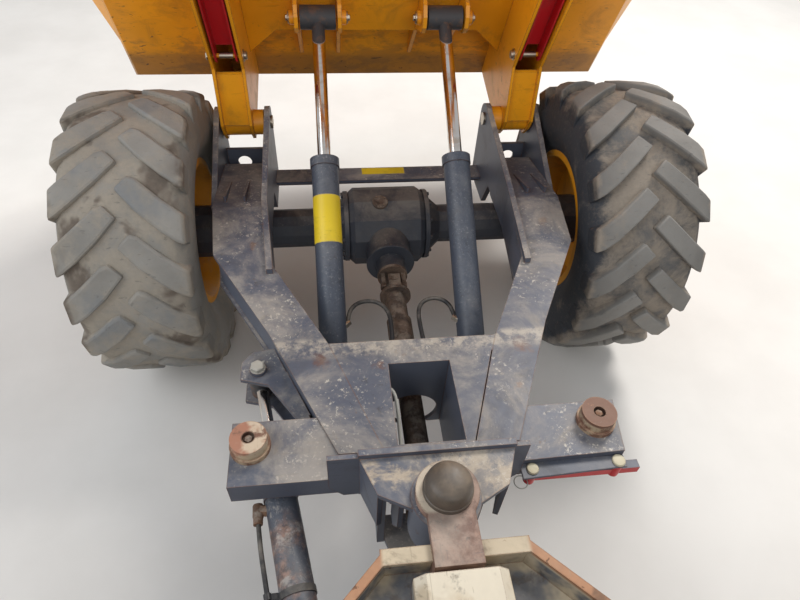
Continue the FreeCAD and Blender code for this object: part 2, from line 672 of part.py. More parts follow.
def prop():
    """Right safety prop stowed in its arm, in the lowered frame."""
    x0 = ARM_X0 + ARM_T + PROP_SIDE
    x1 = ARM_X1 - ARM_T - PROP_SIDE
    y0 = PROP_Y - PROP_LEN
    web = box(x0, x1, y0, PROP_Y - 30, PROP_Z + 19, PROP_Z + 25)
    side = [(y0, PROP_Z - 25), (PROP_Y, PROP_Z - 25), (PROP_Y + 18, PROP_Z - 15),
            (PROP_Y + 18, PROP_Z + 15),
            (PROP_Y, PROP_Z + 25), (y0, PROP_Z + 25)]
    body = fuse(web, plate_x(side, x0, x0 + 6), plate_x(side, x1 - 6, x1))
    return cut(body, cross_rod(PROP_Y, PROP_Z, x0, x1, PROP_PIN_D + 2 * RUN_FIT))


def rams():
    barrel = fuse(rod(up_ram(75), up_ram(RAM_GLAND), RAM_OD), rod(up_ram(0), up_ram(80), 56),
                  cross_rod(RAM_Y, RAM_Z, RAM_X - 40, RAM_X + 40, 80),
                  rod(up_ram(RAM_GLAND - 30), up_ram(RAM_GLAND), RAM_OD + 8))
    barrel = cut(barrel, cross_rod(RAM_Y, RAM_Z, RAM_X - 70, RAM_X + 70, RAM_PIN_D + 2 * RUN_FIT),
                 rod(up_ram(130), up_ram(RAM_GLAND - 40), 60),
                 rod(up_ram(130), up_ram(RAM_GLAND + 5), RAM_ROD_D + 2 * RUN_FIT))
    stem = rod(up_ram(RAM_GLAND - 120), up_ram(RAM_LEN), RAM_ROD_D)
    piston = fuse(stem, cross_rod(EYE_Y, EYE_Z, RAM_X - 62, RAM_X + 62, 80))
    for side, turn in (("right", False), ("left", True)):
        add("tip_ram_barrel_" + side, mirrored(barrel) if turn else barrel)
        add("tip_ram_rod_" + side, mirrored(piston) if turn else piston)

    pin_x, pin_y = STEER_PIN
    eye_x, eye_y = STEER_EYE
    tube = fuse(rod(along_steer(72), along_steer(STEER_BARREL), STEER_OD),
                rod(along_steer(0), along_steer(80), 56),
                post(pin_x, pin_y, STEER_Z - 30, STEER_Z + 30, 76),
                rod(along_steer(STEER_BARREL - 40), along_steer(STEER_BARREL), STEER_OD + 6))
    tube = cut(tube, post(pin_x, pin_y, STEER_Z - 100, STEER_Z + 100, STEER_PIN_D + 2 * RUN_FIT),
               rod(along_steer(120), along_steer(STEER_BARREL - 45), 56),
               rod(along_steer(120), along_steer(STEER_BARREL + 5), STEER_ROD_D + 2 * RUN_FIT))
    add("steer_ram_barrel", tube)
    stem = fuse(rod(along_steer(STEER_BARREL - 250), along_steer(STEER_LEN - 16), STEER_ROD_D),
                post(eye_x, eye_y, STEER_Z - 38, STEER_Z + 38, STEER_EYE_D))
    add("steer_ram_rod", stem)


def rear_frame():
    """Tongue plates above and below the front bearings, central box and rails."""
    tongues = []
    for z0, z1 in ((872, 896), (315, 340)):
        tongues.append(post(0, PIVOT_Y, z0, z1, 134))
        tongues.append(box(-49, 49, PIVOT_Y - 150, PIVOT_Y, z0, z1))
    wide_y = (SPINE_Y + CROSS_Y) / 2.0 - 10
    outer = [(-49, SPINE_Y), (49, SPINE_Y), (150, wide_y), (150, CROSS_Y), (-150, CROSS_Y),
             (-150, wide_y)]
    inner = [(-37, SPINE_Y + 10), (37, SPINE_Y + 10), (138, wide_y - 2), (138, CROSS_Y - 10),
             (-138, CROSS_Y - 10), (-138, wide_y - 2)]
    spine = cut(plate_z(outer, 315, FLOOR_PLATE_Z - 15), plate_z(inner, 430, FLOOR_PLATE_Z - 25))
    neck = box(-49, 49, PIVOT_Y - 150, PIVOT_Y - 100, FLOOR_PLATE_Z - 15, HEAD_Z - 3)
    spread = cut(box(-RAIL_OUT, RAIL_OUT, CROSS_Y, SEAT_FRONT_Y, RAIL_Z0, RAIL_Z1),
                 box(-138, 138, CROSS_Y - 20, SEAT_FRONT_Y + 20, 500, RAIL_Z1 - 10))
    rails = []
    for side in (-1, 1):
        a, b = sorted((side * RAIL_IN, side * RAIL_OUT))
        rails.append(box(a, b, BUMPER_Y, CROSS_Y, RAIL_Z0, RAIL_Z1))
        a, b = sorted((side * RAIL_OUT, side * (ROPS_X + 40)))
        rails.append(box(a, b, ROPS_Y - 40, ROPS_Y + 40, RAIL_Z0, RAIL_Z1))
    pin_x, pin_y = STEER_PIN
    ear = [(-140, pin_y + 62), (pin_x, pin_y + 42), (pin_x - 32, pin_y + 22), (pin_x - 38, pin_y - 8),
           (pin_x - 16, pin_y - 36),
           (-140, pin_y - 80)]
    clevis = [plate_z(ear, z0, z0 + 12) for z0 in (STEER_Z - 46, STEER_Z + 34)]
    pin = post(pin_x, pin_y, STEER_Z - 54, STEER_Z + 54, STEER_PIN_D)
    frame = fuse(tongues, spine, neck, spread, rails, clevis, pin)
    frame = cut(frame, plate_z(inner, 430, FLOOR_PLATE_Z - 25))
    return cut(frame, post(0, PIVOT_Y, 200, 1100, PIVOT_D))


def footwell():
    """Floor tray with a blunt nose, 45 degree front edges and an upstanding rim."""
    y = SPINE_Y - 10
    edge_y = SEAT_FRONT_Y + 144
    side = [(150, y), (246, y - 96), (556, edge_y), (620, edge_y), (620, SEAT_FRONT_Y)]
    plan = side + [(-x, y) for x, y in side[::-1]]
    inner = [(142, y - 18), (237, y - 112), (552, edge_y - 16), (606, edge_y - 16),
             (606, SEAT_FRONT_Y + 12)]
    hole = inner + [(-x, y) for x, y in inner[::-1]]
    tray = cut(plate_z(plan, FLOOR_PLATE_Z - 15, FLOOR_RIM_Z),
               plate_z(hole, FLOOR_PLATE_Z, FLOOR_RIM_Z + 10))
    nose = box(-150, 150, y - 22, SPINE_Y, FLOOR_RIM_Z - 10, FLOOR_RIM_Z)
    hump = plate_y([(-92, FLOOR_PLATE_Z), (-92, FLOOR_PLATE_Z + 70), (-70, FLOOR_PLATE_Z + 92),
                    (70, FLOOR_PLATE_Z + 92),
                    (92, FLOOR_PLATE_Z + 70), (92, FLOOR_PLATE_Z)], y - 180, y - 52)
    return cut(fuse(tray, nose, hump), box(-49, 49, PIVOT_Y - 151, SPINE_Y + 20,
                                           FLOOR_PLATE_Z - 16, HEAD_Z + 22))


def operator_station(frame):
    base = cut(box(-BAY_HALF, BAY_HALF, BAY_FRONT_Y, SEAT_FRONT_Y, RAIL_Z1, BAY_FRONT_Z),
               box(-BAY_HALF + 12, BAY_HALF - 12, BAY_FRONT_Y + 12, SEAT_FRONT_Y - 12, RAIL_Z1 + 8,
                   BAY_FRONT_Z - 12), frame)
    y = SEAT_FRONT_Y - 120
    pedestal = plate_x([(y + 70, BAY_FRONT_Z - 2), (y + 60, BAY_FRONT_Z + 60),
                        (y - 70, BAY_FRONT_Z + 90), (y - 90, BAY_FRONT_Z - 2)], 255, 335)
    levers = []
    for x in (275, 315):
        levers.append(rod((x, y - 10, BAY_FRONT_Z + 60), (x, y + 40, BAY_FRONT_Z + 240), 12))
        levers.append(rod((x, y + 36, BAY_FRONT_Z + 226), (x, y + 48, BAY_FRONT_Z + 270), 30))
    add("seat_base", fuse(base, pedestal, levers))
    back_y = BAY_FRONT_Y + 40
    cushion = fuse(box(-240, 240, back_y, SEAT_FRONT_Y - 40, BAY_FRONT_Z, BAY_FRONT_Z + 110),
                   plate_x([(back_y, BAY_FRONT_Z + 110), (back_y + 110, BAY_FRONT_Z + 110),
                            (back_y + 50, BAY_FRONT_Z + 560),
                            (back_y - 30, BAY_FRONT_Z + 560)], -235, 235))
    add("seat", cushion)

    lean = math.radians(COLUMN_TILT)
    centre = V(*WHEEL_CENTRE)
    axis = V(0, -math.sin(lean), math.cos(lean))
    foot = centre - axis * 560
    y = centre.y + 310
    box_front = plate_x([(y, FLOOR_PLATE_Z), (y, 1000), (y - 30, 1060), (y - 140, 1060),
                         (y - 140, FLOOR_PLATE_Z)], -110, 110)
    column = fuse(box_front, rod(foot, centre - axis * 28.3, 60), rod(foot, centre - axis * 4, 20))
    add("steering_console", cut(column, box(-300, 300, y - 400, y + 300, 600, FLOOR_PLATE_Z)))
    r = STEER_WHEEL_R
    ring = flat_ring([(-13, r - 6), (-13, r + 6), (0, r + 14), (13, r + 6), (13, r - 6), (0, r - 14)],
                     20)
    hub = cross_rod(0, 0, -28, 14, 60)
    spokes = []
    for turn in (90, 210, 330):
        spoke = box(-6, 6, 0, r - 6, -14, 14)
        spoke.rotate(V(0, 0, 0), V(1, 0, 0), turn)
        spokes.append(spoke)
    wheel = cut(fuse(ring, hub, spokes), cross_rod(0, 0, -40, -2, 20 + 2 * RUN_FIT))
    wheel.Placement = FreeCAD.Placement(centre, FreeCAD.Rotation(V(1, 0, 0),
        axis)).multiply(wheel.Placement)
    add("steering_wheel", wheel)


def engine_bay():
    add("engine_block", box(-250, 250, BAY_REAR_Y + 50, BAY_FRONT_Y - 160, RAIL_Z0 - 10,
                            BAY_FRONT_Z - 20).fuse(
        box(-RAIL_IN, RAIL_IN, BAY_REAR_Y + 130, BAY_REAR_Y + 170, RAIL_Z0 + 50,
            RAIL_Z1 - 10)).removeSplitter())
    side = [(BAY_REAR_Y, RAIL_Z1), (BAY_FRONT_Y, RAIL_Z1), (BAY_FRONT_Y, BAY_FRONT_Z),
            (BAY_REAR_Y, BAY_REAR_Z)]
    cowl = plate_x(side, BAY_HALF - 12, BAY_HALF)
    louvres = [box(BAY_HALF - 20, BAY_HALF + 10, y, y + LOUVRE_W, 850, 960)
               for y in [BAY_FRONT_Y - 180 - LOUVRE_STEP * i for i in range(LOUVRES)]]
    add("engine_cowl", both(cut(cowl, louvres)))

    outer = [(BAY_REAR_Y, BAY_REAR_Z + 6), (BAY_FRONT_Y - 10, BAY_FRONT_Z + 6),
             (BAY_FRONT_Y - 10, BONNET_TOP_Z - 20),
             (BAY_FRONT_Y - 40, BONNET_TOP_Z), (BAY_REAR_Y + 230, BONNET_TOP_Z), (BAY_REAR_Y, 1110)]
    inner = [(BAY_REAR_Y + 8, BAY_REAR_Z - 10), (BAY_FRONT_Y - 18, BAY_FRONT_Z - 10),
             (BAY_FRONT_Y - 18, BONNET_TOP_Z - 24),
             (BAY_FRONT_Y - 43, BONNET_TOP_Z - 8), (BAY_REAR_Y + 233, BONNET_TOP_Z - 8),
             (BAY_REAR_Y + 8, 1105)]
    hinge_y, hinge_z = BONNET_HINGE_Y, BONNET_HINGE_Z
    lid = cut(plate_x(outer, -BAY_HALF - 5, BAY_HALF + 5), plate_x(inner, -BAY_HALF + 3, BAY_HALF - 3))
    knuckles = []
    for x0 in (-290, 250):
        knuckles.append(cross_rod(hinge_y, hinge_z, x0, x0 + 40, 24))
        knuckles.append(box(x0, x0 + 40, hinge_y, BAY_REAR_Y + 2, hinge_z - 2, hinge_z + 12))
    lid = cut(fuse(lid, knuckles), cross_rod(hinge_y, hinge_z, -400, 400, 12 + 2 * RUN_FIT))
    slots = [box(x - 14, x + 14, BAY_REAR_Y - 5, BAY_REAR_Y + 20, 1040, 1094) for x in (-150, -90, -30,
        30, 90, 150)]
    add("bonnet", cut(lid, slots))

    ears = []
    ear = [(BUMPER_Y - 25, 980), (BUMPER_Y, 980), (hinge_y + 9, hinge_z - 12),
           (hinge_y + 9, hinge_z + 8), (hinge_y - 8, hinge_z + 14),
           (BUMPER_Y - 25, 990)]
    for x0 in (-304, -244, 236, 296):
        ears.append(plate_x(ear, x0, x0 + 8))
    pins = [cross_rod(hinge_y, hinge_z, -304, -236, 12), cross_rod(hinge_y, hinge_z, 236, 304, 12)]
    bar = plate_z([(-560, BUMPER_Y), (560, BUMPER_Y), (560, BUMPER_Y - 50), (500, BUMPER_Y - 80),
                   (-500, BUMPER_Y - 80),
                   (-560, BUMPER_Y - 50)], 420, 980)
    tow_y = JAW_Y + 40
    jaws = [box(-60, 60, JAW_Y, BUMPER_Y - 80, z0, z0 + 25) for z0 in (515, 600)]
    bumper = fuse(bar, ears, pins, jaws, box(-70, 70, BUMPER_Y - 100, BUMPER_Y - 80, 505, 635))
    add("rear_bumper", cut(bumper, post(0, tow_y, 450, 700, TOW_BORE_D)))
    add("rear_lamps", both(box(440, 540, BUMPER_Y - 90, BUMPER_Y - 80, 800, 860)))


def roll_bar():
    x, y, z = ROPS_X, ROPS_Y, ROPS_FOLD_Z
    half = ROPS_W / 2.0
    cheek = half + MOVE_GAP
    leg = [box(x - half, x + half, y - half, y + half, RAIL_Z1, z - 46),
           box(x - cheek - 12, x + cheek + 12, y - half, y + half, z - 120, z - 60),
           cross_rod(y, z, x - cheek - 20, x + cheek + 20, 30)]
    for side in (-1, 1):
        a, b = sorted((x + side * cheek, x + side * (cheek + 12)))
        leg.append(box(a, b, y - half, y + half, z - 120, z + 45))
    add("rops_posts", both(fuse(leg)))
    top = ROPS_TOP_Z
    bend = 130
    outer = [(x + half, z - 20), (x + half, top - bend), (x + half - bend, top)]
    inner = [(x - half, z - 20), (x - half, top - ROPS_W - bend + 33),
             (x - half - bend + 33, top - ROPS_W)]
    hoop = cut(plate_y(outer + [(-a, b) for a, b in outer[::-1]], y - 35, y + 35),
               plate_y(inner + [(-a, b) for a, b in inner[::-1]], y - 50, y + 50),
               cross_rod(y, z, -x - 200, x + 200, 30 + 2 * RUN_FIT))
    add("rops_hoop", hoop)


def rear_chassis():
    frame = rear_frame()
    add("rear_frame", frame)
    top_pin = fuse(post(0, PIVOT_Y, 725, 925, PIVOT_D), post(0, PIVOT_Y, 896, 924, 96),
                   Part.makeCone(48, 34, 16, V(0, PIVOT_Y, 924)))
    add("pivot_pins", Part.makeCompound([top_pin, post(0, PIVOT_Y, 305, 435, PIVOT_D)]))
    add("footwell", footwell())
    rear = axle(REAR_Y, 1)
    for side in (-1, 1):
        a, b = sorted((side * (RAIL_IN + 10), side * (RAIL_OUT - 10)))
        rear = rear.fuse(box(a, b, REAR_Y - 80, REAR_Y + 80, AXLE_Z, RAIL_Z0)).removeSplitter()
    add("rear_axle", rear)
    box_y = REAR_Y + 500
    add("gearbox", fuse(box(-120, 120, box_y - 150, box_y, 440, 700),
                        rod((0, box_y, AXLE_Z), (0, box_y + 40, AXLE_Z), 110),
                        box(-138, 138, box_y - 140, box_y - 80, 640, 700)))
    shaft = [
        # start, end, diameter
        (PIVOT_Y + 42, PIVOT_Y - 42, 84), (PIVOT_Y - 42, SPINE_Y, 56), (SPINE_Y, box_y + 40, 70)]
    add("propshaft_rear", fuse([rod((0, a, AXLE_Z), (0, b, AXLE_Z), d) for a, b, d in shaft]))
    operator_station(frame)
    engine_bay()
    roll_bar()
    y = SEAT_FRONT_Y + 10
    tank = plate_x([(y, 470), (y + 20, 450), (y + 100, 450), (y + 120, 470),
                    (y + 120, FLOOR_PLATE_Z - 15), (y, FLOOR_PLATE_Z - 15)],
                   RAIL_OUT + 10, 600)
    tread = box(RAIL_OUT + 10, STEP_X, y + 120, y + 270, 470, 482)
    cheeks = []
    for x in (RAIL_OUT + 10, STEP_X - 8):
        cheeks.append(plate_x([(y + 120, 482), (y + 270, 482), (y + 270, 500), (y + 120, 590)], x,
                              x + 8))
    back = box(600, STEP_X, y + 108, y + 120, 470, 590)
    add("side_tanks", both(fuse(tank, tread, cheeks, back)))

    outer = []
    inner = []
    for deg in (30, 60, 90, 120, 150):
        a = math.radians(deg)
        for points, r in ((outer, TYRE_R + 71), (inner, TYRE_R + 63)):
            points.append((REAR_Y + r * math.cos(a), AXLE_Z + r * math.sin(a)))
    fender = plate_x(outer + inner[::-1], 620, HALF_TRACK + HALF_TYRE)
    stay_top = AXLE_Z + TYRE_R + 5
    stay = box(BAY_HALF, 640, REAR_Y + 200, REAR_Y + 260, stay_top - 30, stay_top)
    add("rear_fenders", both(fuse(fender, stay)))


def export_all():
    low = min(shape.BoundBox.YMin for shape in nodes.values())
    high = max(shape.BoundBox.YMax for shape in nodes.values())
    shift = round(-(low + high) / 2.0, 2)
    lift = TYRE_R - AXLE_Z
    print("shift along Y and Z", shift, lift)
    for name, shape in nodes.items():
        moved = shape.copy()
        moved.translate(V(0, shift, lift))
        moved.exportStep("parts/" + name + ".step")


os.makedirs("parts", exist_ok=True)
wheels()
front_chassis()
skip()
skip_frame()
stay = prop()
add("prop_right", tipped(stay))
add("prop_left", tipped(mirrored(stay)))
rams()
rear_chassis()
export_all()
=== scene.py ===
"""Looks of a site dumper with its skip tipped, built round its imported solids.

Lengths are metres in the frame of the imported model: X to the right, Y forward, Z up
from the ground. Each operator makes one piece or one group of like pieces.
"""
import json
import math
from contextlib import contextmanager

import bpy
from mathutils import Matrix, Quaternion, Vector


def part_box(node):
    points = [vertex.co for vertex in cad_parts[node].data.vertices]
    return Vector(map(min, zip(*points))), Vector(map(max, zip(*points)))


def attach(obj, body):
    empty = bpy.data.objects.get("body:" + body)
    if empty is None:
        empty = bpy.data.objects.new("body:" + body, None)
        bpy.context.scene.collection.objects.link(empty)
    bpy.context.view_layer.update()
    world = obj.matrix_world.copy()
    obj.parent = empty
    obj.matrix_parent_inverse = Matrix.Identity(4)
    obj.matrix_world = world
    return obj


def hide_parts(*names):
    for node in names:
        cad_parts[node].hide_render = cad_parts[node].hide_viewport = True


bl_info = {
    "name": "Tipped site dumper",
    "version": (1, 0, 0),
    "blender": (4, 5, 0),
    "location": "3D View > Sidebar > Dumper",
    "description": "Wheels, seat, hoses, fittings and finishes for a site dumper",
    "category": "Object",
}

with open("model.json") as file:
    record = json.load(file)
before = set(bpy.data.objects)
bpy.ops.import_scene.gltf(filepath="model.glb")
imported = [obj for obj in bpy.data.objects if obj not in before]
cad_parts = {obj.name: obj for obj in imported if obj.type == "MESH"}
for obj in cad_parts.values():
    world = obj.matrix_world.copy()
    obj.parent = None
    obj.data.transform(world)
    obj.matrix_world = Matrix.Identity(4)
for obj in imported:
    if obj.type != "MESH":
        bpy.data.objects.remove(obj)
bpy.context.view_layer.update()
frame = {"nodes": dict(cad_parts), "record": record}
BODY_OF = {node: body for body, nodes in frame["record"]["behaviour"]["bodies"].items()
           for node in nodes}

SHIFT = 0.98695                 # from the front axle to the middle of the machine
REAR_Y = SHIFT - 2.4            # rear axle
PIVOT_Y = -1.300 + SHIFT        # upright steering pivot
AXLE_Z = 0.5375
HALF_TRACK = 0.856
HUB_END = 0.8760
WHEELS = (
    # place, side, y
    ("front_left", -1, SHIFT),
    ("front_right", 1, SHIFT),
    ("rear_left", -1, REAR_Y),
    ("rear_right", 1, REAR_Y),
)

HINGE = Vector((0.0, 0.310 + SHIFT, 0.825))
TIP = math.radians(-67.0)
EYE_LOWERED = Vector((0.225, -0.050 + SHIFT, 0.987))    # ram's rod eye, with the skip down
RAM_EYE = Matrix.Rotation(TIP, 3, "X") @ (EYE_LOWERED - HINGE) + HINGE
RAM_FOOT = Vector((0.225, -0.700 + SHIFT, 0.520))       # right tipping ram's lower pin
RAM_WAY = (RAM_EYE - RAM_FOOT).normalized()
STEER_RAM_WAY = (-0.1852, 0.9827, 0)

PAD = (0.430, -0.103)           # middle of the right rest pad
PROP_PIN = (1.26548, 1.10387)   # y and z of the pins that the props hang on
STEER_PIN = (-0.436, 0.177)     # upright pin of the steering ram's rod
LOCK_TOP = 0.7465               # where the lock bar's pin heads sit
LOCK_RING = (0.214, -0.226, 0.716)
RAM_LABEL_AT = 0.415            # from the ram's foot to its label
TREAD_TOP = 0.5375

FINISHES = {}


# modelling

def start():
    """Go to object mode with nothing selected."""
    if bpy.context.object and bpy.context.object.mode != "OBJECT":
        bpy.ops.object.mode_set(mode="OBJECT")
    bpy.ops.object.select_all(action="DESELECT")


def only(*objects):
    """Select these alone, the first as the active one."""
    start()
    for one in objects:
        one.select_set(True)
    bpy.context.view_layer.objects.active = objects[0]


def new(kind, **settings):
    """Add a primitive and give it back with its place in its mesh."""
    start()
    getattr(bpy.ops.mesh, "primitive_" + kind + "_add")(**settings)
    made = bpy.context.object
    bpy.ops.object.transform_apply(location=True, rotation=True, scale=True)
    return made


@contextmanager
def editing(one, test=None, mode="FACE"):
    """Edit mode with all selected, or the faces or points whose place and normal pass a test."""
    only(one)
    bpy.ops.object.mode_set(mode="EDIT")
    bpy.ops.mesh.select_mode(type=mode)
    bpy.ops.mesh.select_all(action="DESELECT" if test else "SELECT")
    if test:
        bpy.ops.object.mode_set(mode="OBJECT")
        if mode == "VERT":
            for point in one.data.vertices:
                point.select = bool(test(point.co, point.normal))
        else:
            for face in one.data.polygons:
                face.select = bool(test(face.center, face.normal))
        bpy.ops.object.mode_set(mode="EDIT")
    yield
    bpy.ops.object.mode_set(mode="OBJECT")


def extrude(*way):
    bpy.ops.mesh.extrude_region_move(TRANSFORM_OT_translate={"value": way})


def resize(factors, centre):
    bpy.ops.transform.resize(value=factors, center_override=centre)


def turn(angle, axis, centre):
    """Right-handed turn in edit mode; without a window the operator turns the other way."""
    bpy.ops.transform.rotate(value=-angle, orient_axis=axis, center_override=centre)


def block(low, high):
    """A box between two corners, to be shaped further."""
    middle = [(a + b) / 2 for a, b in zip(low, high)]
    made = new("cube", size=1, location=middle)
    with editing(made):
        resize([b - a for a, b in zip(low, high)], middle)
    return made


def done(one, smooth=30.0):
    """Merge doubles, point the normals outward and smooth the round faces."""
    with editing(one):
        bpy.ops.mesh.remove_doubles(threshold=0.00005)
        bpy.ops.mesh.normals_make_consistent(inside=False)
    bpy.ops.object.shade_smooth_by_angle(angle=math.radians(smooth))
    return one


def soften(one, width, segments=2, angle=30.0):
    """Round the edges that are sharper than an angle."""
    only(one)
    bevel = one.modifiers.new("soft_edges", "BEVEL")
    bevel.width = width
    bevel.segments = segments
    bevel.limit_method = "ANGLE"
    bevel.angle_limit = math.radians(angle)
    bevel.harden_normals = False
    bpy.ops.object.modifier_apply(modifier=bevel.name)
    return one


def turned(rings, sides=48, closed=False):
    """A round about the X axis from a table of (x, radius), as on a lathe."""
    x, r = rings[0]
    made = new("circle", vertices=sides, radius=r, location=(x, 0, 0),
               rotation=(0, math.pi / 2, 0))
    rings = (*rings, rings[0]) if closed else rings
    with editing(made, mode="EDGE"):
        if not closed:
            bpy.ops.mesh.edge_face_add()
        for (x0, r0), (x1, r1) in zip(rings, rings[1:]):
            extrude(x1 - x0, 0, 0)
            resize((1, r1 / r0, r1 / r0), (x1, 0, 0))
    return done(made)


def band(radius, thick, half, sides):
    """A round band about the X axis, open at both ends."""
    return turned(((-half, radius), (-half, radius + thick), (half, radius + thick),
                   (half, radius)), sides, closed=True)


def put(one, place=(0, 0, 0), along=None, turn_about=0.0):
    """Move a piece modelled along X so that it lies along a direction."""
    only(one)
    aim = Quaternion() if along is None else Vector(along).to_track_quat("X", "Z")
    one.rotation_mode = "QUATERNION"
    one.rotation_quaternion = aim @ Quaternion((1, 0, 0), turn_about)
    one.location = place
    bpy.ops.object.transform_apply(location=True, rotation=True, scale=True)
    return one


def copied(one, place=(0, 0, 0), turn_z=0.0, turn_x=0.0):
    """A copy with its own mesh, turned and moved."""
    only(one)
    bpy.ops.object.duplicate()
    made = bpy.context.object
    made.rotation_mode = "XYZ"
    made.rotation_euler = (turn_x, 0, turn_z)
    made.location = place
    bpy.ops.object.transform_apply(location=True, rotation=True, scale=True)
    return made


def mirrored(one):
    """A copy on the other side of the machine."""
    only(one)
    bpy.ops.object.duplicate()
    made = bpy.context.object
    made.scale = (-1, 1, 1)
    bpy.ops.object.transform_apply(location=True, rotation=True, scale=True)
    return done(made)


def joined(pieces):
    if len(pieces) > 1:
        only(*pieces)
        bpy.ops.object.join()
    return pieces[0]


def around(number, radius, first=0.0):
    """Angle and two offsets of each place on a circle, from a first angle in degrees."""
    for i in range(number):
        angle = math.radians(first + 360 * i / number)
        yield angle, radius * math.cos(angle), radius * math.sin(angle)


def hex_bolt(across, height, place, along=(0, 0, 1), washer=0.0):
    """A bolt's head with its chamfer, and a washer under it where it has one."""
    half = across / 2
    pieces = [turned(((0, half), (height * 0.82, half), (height, half * 0.82)), 6)]
    if washer:
        pieces.append(turned(((-0.003, washer), (0, washer), (0.0006, washer - 0.0006)), 32))
    return put(joined(pieces), place, along)


def tube(points, radius, name, mesh=False):
    """A hose or pipe of one thickness whose smooth line runs along points."""
    start()
    curve = bpy.data.curves.new(name, "CURVE")
    curve.dimensions = "3D"
    line = curve.splines.new("NURBS")
    line.points.add(len(points) - 1)
    for knot, place in zip(line.points, points):
        knot.co = (*place, 1)
    line.order_u = 3
    line.use_endpoint_u = True
    line.resolution_u = 10
    curve.bevel_depth = radius
    curve.bevel_resolution = 5
    curve.use_fill_caps = True
    one = bpy.data.objects.new(name, curve)
    bpy.context.scene.collection.objects.link(one)
    if mesh:
        only(one)
        bpy.ops.object.convert(target="MESH")
        one = bpy.context.object
    return one


def finished(one, name, carrier, finish, *nodes):
    """Name and paint a piece, hang it on its carrier's body and let it stand for nodes."""
    one.name = name
    one.data.name = name
    one.data.materials.clear()
    one.data.materials.append(FINISHES[finish])
    body = BODY_OF[carrier]
    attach(one, body)
    if nodes:
        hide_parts(*nodes)
    return one


# finishes

class Wire:
    """A socket that can stand in sums: 1 - mask, rust * 0.5 + dust."""

    def __init__(self, finish, socket):
        self.finish = finish
        self.socket = socket

    def sum(self, operation, a, b):
        return self.finish.node("ShaderNodeMath", {"operation": operation}, {0: a, 1: b})

    def __add__(self, other):
        return self.sum("ADD", self, other)

    def __radd__(self, other):
        return self.sum("ADD", other, self)

    def __sub__(self, other):
        return self.sum("SUBTRACT", self, other)

    def __rsub__(self, other):
        return self.sum("SUBTRACT", other, self)

    def __mul__(self, other):
        return self.sum("MULTIPLY", self, other)

    def __rmul__(self, other):
        return self.sum("MULTIPLY", other, self)

    def __pow__(self, other):
        return self.sum("POWER", self, other)

    def __abs__(self):
        return self.finish.node("ShaderNodeMath", {"operation": "ABSOLUTE"}, {0: self})


class Finish:
    """A material whose nodes are made one by one."""

    def __init__(self, name, **constants):
        self.material = bpy.data.materials.new(name)
        self.material.use_nodes = True
        self.tree = self.material.node_tree
        self.shader = next(n for n in self.tree.nodes if n.type == "BSDF_PRINCIPLED")
        for socket, value in constants.items():
            self.shader.inputs[socket.replace("_", " ")].default_value = value
        self.spot = self.node("ShaderNodeTexCoord", {}, {}, "Object")
        self.up = self.node("ShaderNodeTexCoord", {}, {}, "Normal")

    def node(self, kind, settings, sockets, out=0):
        made = self.tree.nodes.new(kind)
        for key, value in settings.items():
            setattr(made, key, value)
        for key, value in sockets.items():
            if isinstance(value, Wire):
                self.tree.links.new(value.socket, made.inputs[key])
            else:
                made.inputs[key].default_value = value
        return Wire(self, made.outputs[out])

    def at(self, scale, turn_to=(0, 0, 0)):
        """Coordinates for a stretched pattern."""
        return self.node("ShaderNodeMapping", {},
                         {"Vector": self.spot, "Scale": scale, "Rotation": turn_to})

    def noise(self, scale, detail=3.0, rough=0.55, bend=0.0, at=None):
        return self.node("ShaderNodeTexNoise", {}, {
            "Vector": at or self.spot, "Scale": scale, "Detail": detail,
            "Roughness": rough, "Distortion": bend})

    def step(self, value, low, high, to_low=0.0, to_high=1.0):
        return self.node("ShaderNodeMapRange", {"interpolation_type": "SMOOTHSTEP"},
                         {0: value, 1: low, 2: high, 3: to_low, 4: to_high})

    def mix(self, share, a, b):
        a, b = (colour if isinstance(colour, Wire) else (*colour, 1) for colour in (a, b))
        return self.node("ShaderNodeMix", {"data_type": "RGBA"}, {0: share, 6: a, 7: b}, 2)

    def part(self, vector, axis):
        return self.node("ShaderNodeSeparateXYZ", {}, {0: vector}, axis)

    def place(self, axes):
        """One coordinate for each letter."""
        wires = [self.part(self.spot, axis) for axis in axes]
        return wires if len(wires) > 1 else wires[0]

    def facing_up(self, low, high):
        return self.step(self.part(self.up, "Z"), low, high)

    def vectors(self, operation, a, b):
        return self.node("ShaderNodeVectorMath", {"operation": operation}, {0: a, 1: b}, "Value")

    def edges(self, radius):
        """Near 1 where the surface turns sharply outwards or inwards."""
        soft = self.node("ShaderNodeBevel", {"samples": 4}, {"Radius": radius})
        hard = self.node("ShaderNodeNewGeometry", {}, {}, "Normal")
        return 1 - self.vectors("DOT_PRODUCT", soft, hard)

    def bump(self, height, strength, distance):
        return self.node("ShaderNodeBump", {}, {
            "Strength": strength, "Distance": distance, "Height": height})

    def feed(self, **wires):
        for socket, wire in wires.items():
            self.tree.links.new(wire.socket, self.shader.inputs[socket.replace("_", " ")])
        return self.material


def shade(colour, factor):
    return tuple(min(1.0, c * factor) for c in colour)


